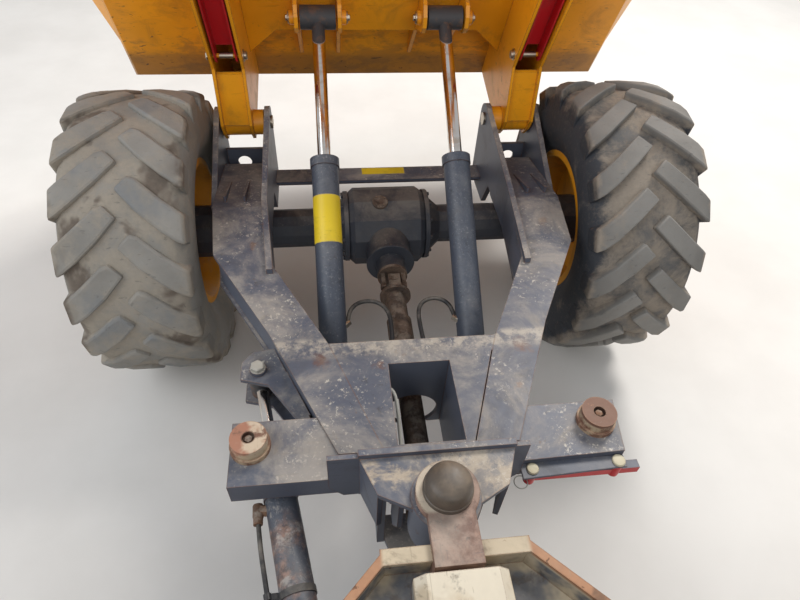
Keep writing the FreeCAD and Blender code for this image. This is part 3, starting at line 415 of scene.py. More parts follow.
def worn_paint(name, paint, under, dust, film, wear, chips, gloss, zones=None):
    """Paint with chipped edges, rust where it is bare, scratches, and dust on what faces up.

    zones may tint or soil the paint by place before the wear goes on.
    """
    f = Finish(name, Specular_IOR_Level=0.4)
    cloud = f.noise(2.3, 4)
    base = f.mix(f.step(cloud, 0.3, 0.7), shade(paint, 0.88), shade(paint, 1.08))
    fine = f.noise(38, 4, 0.65)
    grime = f.step(f.noise(7, 5, 0.7, 0.6), 0.48, 0.72)
    base = f.mix(grime * 0.4, base, tuple(0.5 * (a * 0.45 + b * 0.25) for a, b in zip(paint, dust)))
    if zones:
        base = zones(f, base, fine)
    lines = f.noise(9, 2, 0.5, 0.2, f.at((1, 14, 14), (0.3, 0.9, 0.5)))
    crossed = f.noise(11, 2, 0.5, 0.2, f.at((15, 1, 12), (0.2, 0.1, 0.7)))
    scratch = f.step(lines, 0.66, 0.69) + f.step(crossed, 0.67, 0.70)
    scratch = f.step(scratch * f.step(cloud, 0.42, 0.6), 0.2, 0.9)
    base = f.mix(scratch * 0.5 * wear, base, shade(paint, 0.55))
    edge = f.step(f.edges(0.006) + (fine - 0.5) * 0.28, 0.10, 0.30)
    spots = f.step(f.noise(16, 5, 0.75, 0.3), 0.665 - 0.04 * chips, 0.70 - 0.04 * chips)
    bare = f.step(edge * wear + spots * chips, 0.25, 0.8)
    base = f.mix(bare, base, f.mix(fine, shade(under, 0.6), shade(under, 1.5)))
    flat = f.facing_up(0.25, 0.9)
    lies = f.step(f.noise(5, 6, 0.7, 0.4), 0.36, 0.66) * flat * film + film * 0.16
    specks = f.step(f.noise(95, 3, 0.7), 0.60, 0.68) * f.step(f.noise(6, 4, 0.7), 0.40, 0.60)
    settled = f.step(lies * 0.75 + specks * flat * film * 0.6, 0.0, 1.0)
    base = f.mix(settled * 0.85, base, dust)
    rough = f.step(settled + bare + grime * 0.4 + fine * 0.2, 0.0, 1.6, gloss, 0.88)
    height = fine * 0.25 + bare * -0.5 + scratch * -0.3 + f.noise(180, 2) * 0.12
    return f.feed(Base_Color=base, Roughness=rough, Normal=f.bump(height, 0.35, 0.0012))


RUST_SPOTS = (
    # place on the deck, radius: rust breaking through its paint
    ((-0.261, 0.142, 0.77), 0.030), ((-0.101, 0.113, 0.77), 0.020), ((0.299, 0.153, 0.77), 0.030),
    ((-0.47, 0.62, 0.77), 0.018), ((0.52, 0.70, 0.77), 0.022), ((0.27, 0.02, 0.77), 0.014))


def deck_zones(f, base, fine):
    """Rust spots, pale scuffs on the deck's front edge and sand in the tray of the pivot head."""
    y, z = f.place("YZ")
    flat = f.facing_up(0.6, 0.9)
    ragged = f.noise(26, 5, 0.7)
    rust = f.mix(fine, (0.070, 0.030, 0.021), (0.185, 0.080, 0.048))
    for middle, radius in RUST_SPOTS:
        far = f.vectors("DISTANCE", f.spot, middle) + (ragged - 0.5) * 0.10
        base = f.mix(f.step(far, radius * 1.15, radius * 0.1) * 0.8, base, rust)
    scuff = f.step(y, 0.135, 0.175) * f.step(y, 0.225, 0.205) * f.step(z, 0.75, 0.765)
    base = f.mix(scuff * f.step(ragged, 0.42, 0.60) * 0.75, base, (0.44, 0.39, 0.32))
    tray = f.step(z, 0.856, 0.859) * f.step(z, 0.8645, 0.8615) * flat
    sand = f.mix(f.noise(120, 3, 0.7), (0.24, 0.185, 0.125), (0.54, 0.45, 0.34))
    base = f.mix(tray * f.step(f.noise(11, 5, 0.7, 0.3), 0.45, 0.57) * 0.9, base, sand)
    flecks = f.step(f.noise(75, 4, 0.75), 0.57, 0.64) * f.step(f.noise(5.5, 4, 0.7), 0.44, 0.60)
    base = f.mix(flecks * flat * 0.8, base, (0.55, 0.51, 0.44))
    soot = f.step(f.noise(19, 5, 0.75, 0.5), 0.58, 0.70) * flat
    return f.mix(soot * 0.55, base, (0.018, 0.018, 0.020))


def body_zones(f, base, fine):
    """Brown rust on the neck that reaches forward to the pivot, and a collar half cream."""
    x, y, z = f.place("XYZ")
    neck = f.step(y, -0.470, -0.462) * f.step(z, 0.60, 0.66)
    rust = f.mix(f.step(f.noise(17, 5, 0.7, 0.3), 0.36, 0.64),
                 (0.15, 0.075, 0.050), (0.36, 0.225, 0.165))
    rust = f.mix(f.step(f.noise(60, 4, 0.7), 0.58, 0.66) * 0.8, rust, (0.05, 0.028, 0.022))
    base = f.mix(neck * 0.92, base, rust)
    far = f.vectors("DISTANCE", f.spot, (0, PIVOT_Y, 0.896))
    collar = f.step(far, 0.081, 0.078) * f.step(z, 0.890, 0.894) * f.step(y, -0.362, -0.352)
    left = f.step(x + (f.noise(30, 4) - 0.5) * 0.09, 0.014, -0.024)
    cream = f.mix(fine, (0.38, 0.31, 0.22), (0.62, 0.55, 0.44))
    return f.mix(collar * left * 0.9, base, cream)


def pad_zones(f, base, fine):
    """The left rest pad is rubbed to a pale ring, the right one is rust brown."""
    x, y, z = f.place("XYZ")
    ragged = f.noise(24, 4, 0.7)
    ring = f.step(x, 0.1, -0.1) * f.step(z, 0.780, 0.792) * f.step(ragged, 0.30, 0.45)
    reddish = f.step(f.noise(21, 3, 0.6) + (x + PAD[0]) * -3.0, 0.40, 0.60)
    pale = f.mix(fine, (0.50, 0.40, 0.29), (0.62, 0.51, 0.38))
    base = f.mix(ring * 0.92, base, f.mix(reddish, pale, (0.36, 0.165, 0.105)))
    side = f.step(z, 0.803, 0.798) * f.step(ragged, 0.40, 0.58)
    base = f.mix(side * 0.75, base, (0.46, 0.37, 0.25))
    seen_from_above = f.node("ShaderNodeCombineXYZ", {}, {0: abs(x), 1: y})
    pit = f.vectors("DISTANCE", seen_from_above, (*PAD, 0))
    return f.mix(f.step(pit, 0.018, 0.0155) * 0.8, base, (0.035, 0.020, 0.016))


def barrel_zones(f, base, fine):
    """Rust and pale dust over the steering ram, which lies lower than the tipping rams."""
    y = f.place("Y")
    low = f.step(y, -0.12, -0.16)
    blotch = f.step(f.noise(10, 6, 0.7, 0.3), 0.40, 0.60)
    rust = f.mix(f.step(f.noise(48, 4, 0.7), 0.4, 0.6), (0.085, 0.045, 0.032), (0.30, 0.165, 0.11))
    base = f.mix(low * blotch * f.step(y, -0.20, -0.28) * 0.85, base, rust)
    pale = f.step(f.noise(22, 6, 0.75, 0.4), 0.52, 0.66) * low
    base = f.mix(pale * 0.7, base, (0.36, 0.335, 0.30))
    specks = f.step(f.noise(130, 3, 0.75), 0.56, 0.68) * f.step(f.noise(9, 4, 0.7), 0.36, 0.60)
    base = f.mix(specks * f.facing_up(-0.1, 0.6) * 0.5, base, (0.30, 0.30, 0.31))
    soot = f.step(f.noise(60, 4, 0.7), 0.56, 0.70)
    return f.mix(soot * 0.5, base, (0.022, 0.024, 0.028))


def nose_zones(f, base, fine):
    """Steel blue floor, rust along the side rims and old cream paint left in patches."""
    x, y, z = f.place("XYZ")
    wide = abs(x)
    floor = f.step(z, 0.868, 0.858) * f.step(f.noise(6, 4), 0.40, 0.52)
    base = f.mix(floor, base, (0.105, 0.115, 0.135))
    worn = f.step(z, 0.866, 0.872) * f.step(wide, 0.142, 0.152)
    base = f.mix(worn * 0.85, base, f.mix(fine, (0.22, 0.075, 0.03), (0.44, 0.20, 0.09)))
    hump = f.step(wide, 0.094, 0.088) * f.step(y, -0.462, -0.466) * f.step(z, 0.82, 0.83)
    base = f.mix(hump * f.step(f.noise(9, 4), 0.62, 0.5), base, (0.66, 0.60, 0.48))
    stain = f.step(f.noise(12, 5, 0.7, 0.4), 0.54, 0.66)
    return f.mix(stain * 0.6, base, (0.055, 0.035, 0.025))


def skip_zones(f, base, fine):
    """Mud and scuffs in a band along the skip's foot, where it has touched the heap, and the paint
    darker towards the foot.
    """
    z = f.place("Z")
    ragged = f.noise(7, 5, 0.7, 0.3, f.at((1, 1, 2.5)))
    mud = f.step(z, 1.16, 1.00) * f.step(ragged, 0.48, 0.64)
    base = f.mix(mud * 0.45, base, (0.16, 0.085, 0.035))
    # the skip's paint darker towards its foot, nearest the ground
    foot = f.step(z + (ragged - 0.5) * 0.12, 0.975, 0.925)
    base = f.mix(foot * 0.5, base, (0.085, 0.060, 0.042))
    nicks = f.step(f.noise(18, 2, 0.5, 2.5, f.at((0.7, 5, 2.2))), 0.69, 0.71)
    return f.mix(nicks * f.step(z, 1.30, 1.05) * 0.85, base, (0.05, 0.03, 0.02))


def bar_zones(f, base, fine):
    """The props stay red; the lock bar's upper face has its dark top coat."""
    top_coat = f.facing_up(0.7, 0.9) * f.step(f.place("Z"), 0.80, 0.78)
    return f.mix(top_coat, base, (0.075, 0.085, 0.115))


def bright_steel(name, colour, tint, gloss, head=None):
    """Polished rod under a film of dust, its eye painted where head is a colour."""
    f = Finish(name)
    smear = f.step(f.noise(6, 4, 0.6, 0.5, f.at((1, 1, 4))), 0.45, 0.75)
    fine = f.noise(160, 2, 0.5)
    base = f.mix(smear, colour, tint)
    rough = f.step(smear * 0.6 + fine * 0.4, 0, 1, gloss, gloss + 0.22)
    grain = f.bump(fine, 0.05, 0.0005)
    if head is None:
        f.shader.inputs["Metallic"].default_value = 1.0
        return f.feed(Base_Color=base, Roughness=rough, Normal=grain)
    y, z = f.place("YZ")
    eyes = f.step(z, 1.170, 1.175) + f.step(y, 0.138, 0.142) * f.step(z, 0.72, 0.70)
    eyes = f.step(eyes, 0.0, 1.0)
    blotch = f.step(f.noise(22, 5, 0.7), 0.5, 0.64)
    dark = f.mix(blotch * 0.7, head, (0.12, 0.065, 0.04))
    return f.feed(Base_Color=f.mix(eyes, base, dark), Metallic=1 - eyes,
                  Roughness=rough * (1 - eyes) + eyes * 0.6, Normal=grain)


def rusty_steel(name, light, dark, dust, film):
    """Bare steel, rusted and rubbed."""
    f = Finish(name, Metallic=0.15)
    blotch = f.step(f.noise(14, 6, 0.7, 0.4), 0.35, 0.65)
    fine = f.noise(85, 5, 0.7)
    base = f.mix(blotch, dark, light)
    base = f.mix(f.step(fine, 0.55, 0.75) * 0.6, base, shade(dark, 0.45))
    lies = f.facing_up(0.3, 0.95) * f.step(f.noise(22, 5, 0.7), 0.42, 0.62)
    base = f.mix(lies * film, base, dust)
    edge = f.step(f.edges(0.004), 0.10, 0.30)
    base = f.mix(edge * 0.5, base, shade(light, 1.9))
    return f.feed(Base_Color=base, Roughness=f.step(fine + edge * -0.4, 0.2, 0.8, 0.55, 0.9),
                  Normal=f.bump(fine * 0.8 + blotch * 0.3, 0.5, 0.0016))


def tyre_rubber(name, centre_y, rubber, mud, packed, top=TREAD_TOP):
    """Rubber with mud in its grooves and on its walls, packed so much on the left and right.

    A tread that is worn below its full top also has hardened mud in pockets between its lugs. A
    fresh tread has painted shade: its lug sides, grooves and walls are darkened below the lug tops.
    """
    f = Finish(name, Specular_IOR_Level=0.3)
    worn = top < TREAD_TOP
    x, y, z = f.place("XYZ")
    y, z = y - centre_y, z - AXLE_Z
    radius = (y * y + z * z) ** 0.5
    groove = f.step(radius, top - 0.008, top - 0.026)
    tread = 1 - f.step(radius, 0.500, 0.465)
    fine = f.noise(70, 5, 0.7)
    side = f.step(x, -0.3, 0.3)
    held = packed[0] * (1 - side) + packed[1] * side
    cake = f.noise(9, 6, 0.7, 0.3) + groove * 0.22 * tread
    dirt = f.step(cake + held * 0.22, 0.60, 0.86)
    base = f.mix(f.step(f.noise(4, 4), 0.3, 0.7), shade(rubber, 0.8), shade(rubber, 1.15))
    # painted shade on the fresh tyres: lug sides, grooves and walls darkened to blue black below
    # the lug tops
    if not worn:
        base = f.mix(f.step(radius, top - 0.008, top - 0.050), base, (0.040, 0.044, 0.052))
    base = f.mix(f.step(fine, 0.5, 0.75) * 0.35, base, shade(mud, 0.6))
    base = f.mix(dirt * 0.8, base, f.mix(fine, shade(mud, 0.7), shade(mud, 1.15)))
    if worn:
        pocket = f.step(f.noise(4.5, 4, 0.6, 0.3), 0.50, 0.58)
        pocket = pocket * f.step(radius, top - 0.006, top - 0.016) * tread
        hard_mud = f.mix(fine, (0.070, 0.055, 0.045), (0.16, 0.13, 0.105))
        base = f.mix(pocket * 0.9, base, hard_mud)
        blue = f.step(f.noise(6, 4, 0.6), 0.52, 0.66) * f.step(radius, top - 0.012, top - 0.002)
        base = f.mix(blue * 0.6, base, (0.150, 0.165, 0.180))
    nicks = f.step(f.noise(30, 3, 0.6, 0.2, f.at((1, 5, 1))), 0.64, 0.70)
    base = f.mix(nicks * 0.4, base, shade(rubber, 0.45))
    height = dirt * 0.6 + fine * 0.5 + nicks * -0.5
    return f.feed(Base_Color=base, Roughness=f.step(dirt + fine * 0.4, 0, 1.2, 0.62, 0.95),
                  Normal=f.bump(height, 0.45, 0.003))


def moulded(name, colour, dust, film, gloss, grain=240):
    """Grained plastic, vinyl or hose rubber under a little dust."""
    f = Finish(name, Specular_IOR_Level=0.4)
    fine = f.noise(grain, 3, 0.6)
    lies = f.step(f.noise(8, 5, 0.7, 0.4), 0.40, 0.72)
    lies = lies * (f.facing_up(0.0, 0.9) * 0.7 + 0.3) * film
    base = f.mix(f.step(f.noise(5, 3), 0.3, 0.7), shade(colour, 0.85), shade(colour, 1.15))
    return f.feed(Base_Color=f.mix(lies, base, dust),
                  Roughness=f.step(lies + fine * 0.3, 0, 1, gloss, 0.9),
                  Normal=f.bump(fine, 0.3, 0.0006))


def make_finishes(tones):
    """Every finish of the machine, from the panel's colours."""
    amber, red, dark, ram, cream, rust, dust, mud, rubber = (
        tuple(getattr(tones, key)) for key in (
            "skip_paint", "prop_paint", "chassis_paint", "ram_paint", "nose_paint",
            "rust", "dust", "mud", "rubber"))
    sand, soil = (0.30, 0.20, 0.10), (0.32, 0.22, 0.12)
    brown = (0.09, 0.045, 0.02)
    finishes = (
        # worn_paint, name, paint, under, dust, film, wear, chips, gloss, zones
        (worn_paint, "skip_paint", amber, brown, sand, 0.35, 0.55, 0.25, 0.34, skip_zones),
        (worn_paint, "panel_paint", amber, brown, sand, 0.35, 0.55, 0.25, 0.34),
        (worn_paint, "arm_paint", amber, (0.07, 0.045, 0.03), soil, 0.25, 0.85, 0.5, 0.36),
        (worn_paint, "wheel_paint", shade(amber, 0.85), rust, mud, 0.55, 0.6, 0.5, 0.5),
        (worn_paint, "prop_paint", red, (0.12, 0.05, 0.04), dust, 0.16, 0.6, 0.3, 0.38, bar_zones),
        (worn_paint, "chassis_paint", dark, rust, dust, 0.75, 0.95, 0.5, 0.46, deck_zones),
        (worn_paint, "body_paint", dark, rust, dust, 0.6, 0.8, 0.35, 0.46, body_zones),
        (worn_paint, "axle_paint", shade(dark, 0.32), shade(rust, 0.7), mud, 0.5, 0.4, 0.4, 0.55),
        (worn_paint, "ram_paint", ram, shade(rust, 0.8), (0.30, 0.29, 0.28), 0.45, 0.6, 0.35, 0.42,
         barrel_zones),
        (worn_paint, "pad_paint", (0.17, 0.085, 0.055), (0.30, 0.17, 0.11), dust, 0.25, 0.9, 0.6,
         0.62, pad_zones),
        (worn_paint, "plate_paint", shade(dark, 0.85), rust, dust, 0.5, 0.9, 0.3, 0.42),
        (worn_paint, "nose_paint", cream, rust, (0.42, 0.36, 0.28), 0.35, 0.9, 0.8, 0.6,
         nose_zones),
        (worn_paint, "cap_cream", (0.52, 0.47, 0.33), (0.20, 0.14, 0.09), dust, 0.3, 0.8, 0.4, 0.5),
        (worn_paint, "label_yellow", (0.76, 0.55, 0.02), (0.35, 0.30, 0.22), dust, 0.15, 0.8, 0.35,
         0.40),
        # bright_steel, name, colour, tint, gloss, head
        (bright_steel, "bright_steel", (0.66, 0.62, 0.58), (0.46, 0.36, 0.27), 0.08,
         (0.040, 0.040, 0.044)),
        (bright_steel, "pin_steel", (0.45, 0.40, 0.33), (0.28, 0.20, 0.13), 0.34),
        # rusty_steel, name, light, dark, dust, film
        (rusty_steel, "rusty_steel", (0.20, 0.105, 0.06), (0.075, 0.042, 0.028), dust, 0.5),
        (rusty_steel, "pale_rust", (0.34, 0.24, 0.16), (0.14, 0.085, 0.055), (0.45, 0.38, 0.29),
         0.7),
        (rusty_steel, "shaft_steel", (0.13, 0.085, 0.06), (0.045, 0.032, 0.026), mud, 0.5),
        # tyre_rubber, name, y, rubber, mud, packed mud left and right, top of the tread
        (tyre_rubber, "front_rubber", SHIFT, rubber, mud, (0.95, 0.25)),
        (tyre_rubber, "worn_rubber", SHIFT, (0.235, 0.225, 0.205), (0.33, 0.29, 0.235),
         (0.75, 0.25), 0.522),
        (tyre_rubber, "rear_rubber", REAR_Y, rubber, mud, (0.5, 0.4)),
        # moulded, name, colour, dust, film, gloss, grain
        (moulded, "cap_brown", (0.070, 0.057, 0.046), (0.30, 0.23, 0.16), 0.50, 0.34, 120),
        (moulded, "dull_zinc", (0.40, 0.385, 0.34), (0.24, 0.18, 0.12), 0.45, 0.36, 150),
        (moulded, "black_plastic", (0.022, 0.022, 0.024), dust, 0.35, 0.42),
        (moulded, "seat_vinyl", (0.020, 0.020, 0.022), dust, 0.18, 0.46, 420),
        (moulded, "hose_rubber", (0.018, 0.018, 0.020), dust, 0.40, 0.55, 300),
        (moulded, "white_hose", (0.66, 0.64, 0.57), mud, 0.15, 0.45, 300),
        (moulded, "red_lens", (0.42, 0.012, 0.010), dust, 0.20, 0.14, 90),
    )
    for make, name, *settings in finishes:
        FINISHES[name] = make(name, *settings)


NODE_FINISH = {
    # finish: the nodes that take it
    "skip_paint": "skip_floor skip_front skip_rear skip_sides",
    "panel_paint": "bonnet rear_fenders",
    "arm_paint": "skip_arms skip_ram_beam skip_rest_beam",
    "wheel_paint": "rim_front_left rim_front_right rim_rear_left rim_rear_right",
    "prop_paint": "prop_left prop_right lock_bar",
    "chassis_paint": "frame_arms front_crossbeam pivot_box stop_wings steering_bracket",
    "body_paint": "rear_frame rear_bumper side_tanks engine_cowl seat_base rops_posts rops_hoop",
    "axle_paint": "front_axle rear_axle gearbox engine_block",
    "ram_paint": "tip_ram_barrel_left tip_ram_barrel_right steer_ram_barrel",
    "nose_paint": "footwell",
    "bright_steel": "tip_ram_rod_left tip_ram_rod_right steer_ram_rod",
    "pin_steel": "hinge_pins",
    "pad_paint": "rest_pads",
    "pale_rust": "pivot_pins",
    "shaft_steel": "propshaft_front propshaft_rear",
    "front_rubber": "tyre_front_left tyre_front_right",
    "rear_rubber": "tyre_rear_left tyre_rear_right",
    "black_plastic": "steering_console steering_wheel",
    "seat_vinyl": "seat",
    "red_lens": "rear_lamps",
}


# settings

def count(name, words, default, least):
    return bpy.props.IntProperty(name=name, description=words, default=default, min=least)


def length(name, words, default):
    return bpy.props.FloatProperty(name=name, description=words, default=default, unit="LENGTH")


def tone(name, words, default):
    return bpy.props.FloatVectorProperty(name=name, description=words, default=default, size=3,
                                         min=0, max=1, subtype="COLOR")


class DUMPER_PG_sizes(bpy.types.PropertyGroup):
    """Sizes of the pieces that are modelled here."""

    lug_count: count("Lugs", "Lugs on each half of a tyre's tread", 18, 8)
    lug_edge: length("Lug edge", "Rounding of a lug's edges", 0.0055)
    worn_edge: length("Worn lug edge", "Rounding of the lugs of the worn left front tyre", 0.0095)
    worn_depth: length("Tread worn off", "Rubber worn off the lugs of the left front tyre", 0.016)
    tyre_sides: count("Tyre facets", "Facets round a tyre's carcass", 108, 24)
    nut_count: count("Wheel nuts", "Nuts on each wheel", 8, 4)
    nut_circle: length("Nut circle", "Radius of the circle of nuts", 0.0770)
    label_width: length("Ram label", "Length of the plain label on a ram", 0.16)
    wheel_grip: length("Steering wheel grip", "Radius of the steering wheel's grip", 0.0140)


class DUMPER_PG_tones(bpy.types.PropertyGroup):
    """Colours of the machine's finishes."""

    skip_paint: tone("Skip paint", "Amber paint of the skip, arms and wheels",
                     (0.80, 0.325, 0.008))
    prop_paint: tone("Prop paint", "Red paint of the safety props and the lock bar",
                     (0.55, 0.012, 0.018))
    chassis_paint: tone("Chassis paint", "Dark paint of the chassis", (0.078, 0.090, 0.124))
    ram_paint: tone("Ram paint", "Dark paint of the ram barrels", (0.062, 0.074, 0.100))
    nose_paint: tone("Nose paint", "Pale paint of the footwell", (0.50, 0.42, 0.30))
    rust: tone("Rust", "Rust under the chassis paint", (0.14, 0.065, 0.035))
    dust: tone("Dust", "Pale dust on what faces up", (0.42, 0.375, 0.315))
    mud: tone("Mud", "Mud on the tyres", (0.30, 0.255, 0.205))
    rubber: tone("Rubber", "Rubber of the tyres", (0.185, 0.178, 0.165))


# pieces

class DUMPER_OT_paint(bpy.types.Operator):
    """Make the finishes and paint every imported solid"""

    bl_idname = "dumper.paint"
    bl_label = "Paint the machine"

    def execute(self, context):
        make_finishes(context.scene.dumper_tones)
        bare = set(frame["nodes"])
        for finish, names in NODE_FINISH.items():
            for name in names.split():
                materials = frame["nodes"][name].data.materials
                materials.clear()
                materials.append(FINISHES[finish])
                bare.remove(name)
        if bare:
            raise RuntimeError("no finish for " + ", ".join(sorted(bare)))
        return {"FINISHED"}


LUG_SKEW = math.radians(44)     # of a lug's square inner end


def lug_blank(edge, worn, spread):
    """One lug of the tread about the X axis, square at its inner end and out over the shoulder."""
    sections = (
        # x, middle angle, angle it covers, top radius, foot radius
        (0.016, 3.0, 6.4, 0.5360 - worn, 0.4950),
        (0.060, 7.6, 9.2 + spread, 0.5355 - worn, 0.4930),
        (0.130, 14.6, 9.2 + spread, 0.5335 - worn, 0.4800),
        (0.172, 18.2, 9.0 + spread, 0.5250 - worn * 0.8, 0.4500),
        (0.197, 20.0, 8.4 + spread, 0.5120 - worn * 0.5, 0.4160),
    )
    x, angle, cover, top, foot = sections[0]
    middle = (top + foot) / 2
    made = new("plane", size=1, location=(x, 0, middle), rotation=(0, math.pi / 2, 0))
    with editing(made):
        resize((1, top * math.radians(cover), top - foot), (x, 0, middle))
        turn(-LUG_SKEW, "Z", (x, 0, middle))
        turn(math.radians(angle), "X", (0, 0, 0))
        for low, high in zip(sections, sections[1:]):
            x, angle, cover, top, foot = low
            next_x, next_angle, next_cover, next_top, next_foot = high
            middle, next_middle = (top + foot) / 2, (next_top + next_foot) / 2
            bpy.ops.mesh.extrude_region_move()
            turn(math.radians(-angle), "X", (0, 0, 0))
            if low is sections[0]:
                turn(LUG_SKEW, "Z", (x, 0, middle))
            wider = next_top * next_cover / (top * cover)
            taller = (next_top - next_foot) / (top - foot)
            resize((1, wider, taller), (x, 0, middle))
            bpy.ops.transform.translate(value=(next_x - x, 0, next_middle - middle))
            turn(math.radians(next_angle), "X", (0, 0, 0))
    return soften(done(made), edge, 2, 35)


CARCASS = (
    # x, radius of one half of a tyre without its lugs
    (0.150, 0.258), (0.158, 0.274), (0.169, 0.288), (0.1740, 0.296), (0.1745, 0.304),
    (0.185, 0.322), (0.196, 0.345), (0.2018, 0.372), (0.2022, 0.402), (0.1985, 0.432),
    (0.1905, 0.460), (0.177, 0.482), (0.156, 0.4965), (0.105, 0.5030), (0.050, 0.5052))


class DUMPER_OT_tyres(bpy.types.Operator):
    """Make a fresh and a worn tyre with their lugs and fit them to the four wheels"""

    bl_idname = "dumper.tyres"
    bl_label = "Tyres"

    def execute(self, context):
        sizes = context.scene.dumper_sizes
        rings = (*CARCASS, *((-x, r) for x, r in CARCASS[::-1]))
        step = 2 * math.pi / sizes.lug_count
        kinds = (
            # edge rounding, worn off the tread, degrees that a lug is wider, wheels
            (sizes.lug_edge, 0.0, 0.0, WHEELS[1:]),
            (sizes.worn_edge, sizes.worn_depth, 2.4, WHEELS[:1]),
        )
        for edge, worn, spread, wheels in kinds:
            pieces = [turned(rings, sizes.tyre_sides, closed=True)]
            blank = lug_blank(edge, worn, spread)
            for lug, first in ((blank, step / 2), (mirrored(blank), 0.0)):
                pieces += [copied(lug, turn_x=first + i * step) for i in range(sizes.lug_count)]
                bpy.data.objects.remove(lug)
            tyre = joined(pieces)
            for place, side, y in wheels:
                one = copied(tyre, (side * HALF_TRACK, y, AXLE_Z))
                finish = "worn_rubber" if worn else place.split("_")[0] + "_rubber"
                node = "tyre_" + place
                finished(one, "lugged_" + node, node, finish, node)
            bpy.data.objects.remove(tyre)
        return {"FINISHED"}


DISC = (
    # x, radius round a wheel's disc and rim
    (-0.165, 0.272), (-0.1650, 0.256), (-0.158, 0.250), (-0.128, 0.243), (-0.110, 0.232),
    (-0.0640, 0.224), (-0.062, 0.200), (-0.062, 0.110), (-0.074, 0.096), (-0.074, 0.0605),
    (-0.056, 0.0605), (-0.056, 0.090), (-0.043, 0.104), (-0.0430, 0.150), (-0.0350, 0.172),
    (-0.0350, 0.196), (-0.0430, 0.212), (-0.0440, 0.2235), (0.020, 0.228), (0.070, 0.236),
    (0.120, 0.243), (0.158, 0.250), (0.1650, 0.256), (0.1650, 0.272), (0.1620, 0.2795),
    (0.1570, 0.2795), (0.1550, 0.272), (0.1550, 0.262), (0.060, 0.252), (-0.060, 0.252),
    (-0.1550, 0.262), (-0.1550, 0.272), (-0.1570, 0.2795), (-0.1620, 0.2795))


class DUMPER_OT_rims(bpy.types.Operator):
    """Make a wheel disc with its nuts and valve and fit it four times"""

    bl_idname = "dumper.rims"
    bl_label = "Wheel rims"

    def execute(self, context):
        sizes = context.scene.dumper_sizes
        pieces = [turned(DISC, 96, closed=True)]
        nut = turned(((-0.058, 0.0125), (-0.052, 0.0125), (-0.051, 0.0105), (-0.040, 0.0105),
                      (-0.038, 0.009)), 6)
        stud = turned(((-0.045, 0.006), (-0.030, 0.006), (-0.028, 0.0045)), 12)
        nut = soften(joined([nut, stud]), 0.0006, 1)
        for angle, y, z in around(sizes.nut_count, sizes.nut_circle):
            pieces.append(copied(nut, (0, y, z), turn_x=angle))
        bpy.data.objects.remove(nut)
        valve = turned(((-0.045, 0.005), (-0.020, 0.005), (-0.018, 0.0035), (-0.008, 0.0035)), 12)
        wheel = joined([*pieces, put(valve, (0, 0, 0.188))])
        for place, side, y in WHEELS:
            half_turn = 0 if side > 0 else math.pi
            one = copied(wheel, (side * HALF_TRACK, y, AXLE_Z), turn_z=half_turn)
            node = "rim_" + place
            finished(one, "disc_wheel_" + place, node, "wheel_paint", node)
        bpy.data.objects.remove(wheel)
        return {"FINISHED"}


class DUMPER_OT_steering_wheel(bpy.types.Operator):
    """Make the steering wheel with its grip, spokes and cap"""

    bl_idname = "dumper.steering_wheel"
    bl_label = "Steering wheel"

    def execute(self, context):
        grip = new("torus", major_radius=0.180, major_segments=72, minor_segments=14,
                   minor_radius=context.scene.dumper_sizes.wheel_grip,
                   rotation=(0, math.pi / 2, 0))
        hub = turned(((-0.028, 0.024), (-0.024, 0.030), (0.006, 0.030), (0.012, 0.026),
                      (0.014, 0.018)), 40)
        pieces = [grip, hub]
        for angle in (90, 210, 330):
            spoke = block((-0.006, -0.014, 0.020), (0.006, 0.014, 0.172))
            with editing(spoke, lambda c, n: n.z > 0.9):
                resize((1, 0.7, 1), (0, 0, 0.172))
            soften(spoke, 0.004, 3)
            pieces.append(put(spoke, turn_about=math.radians(angle)))
        lean = math.radians(32)
        wheel = put(joined(pieces), (0, -1.900 + SHIFT, 1.430),
                    (0, -math.sin(lean), math.cos(lean)))
        finished(done(wheel, 40), "grip_wheel", "steering_wheel", "black_plastic",
                 "steering_wheel")
        return {"FINISHED"}


FULLEST = 0.010     # furthest that a pad's cover moves out


def pad_out(one, rests):
    """Blow a pad up as cloth under pressure, held where it rests."""
    only(one)
    one.data.remesh_voxel_size = 0.006
    bpy.ops.object.voxel_remesh()
    held = one.vertex_groups.new(name="held")
    held.add([point.index for point in one.data.vertices if rests(point.co)], 1.0, "REPLACE")
    before = [point.co.copy() for point in one.data.vertices]
    cloth = one.modifiers.new("pressure", "CLOTH")
    cloth.settings.quality = 5
    cloth.settings.mass = 0.25
    cloth.settings.tension_stiffness = 12
    cloth.settings.compression_stiffness = 12
    cloth.settings.bending_stiffness = 0.6
    cloth.settings.use_pressure = True
    cloth.settings.uniform_pressure_force = 4
    cloth.settings.vertex_group_mass = "held"
    cloth.settings.effector_weights.gravity = 0
    for number in range(1, 21):
        bpy.context.scene.frame_set(number)
    bpy.ops.object.modifier_apply(modifier=cloth.name)
    bpy.context.scene.frame_set(1)
    one.vertex_groups.clear()
    for point, place in zip(one.data.vertices, before):
        moved = point.co - place
        if moved.length > FULLEST:
            point.co = place + moved.normalized() * FULLEST


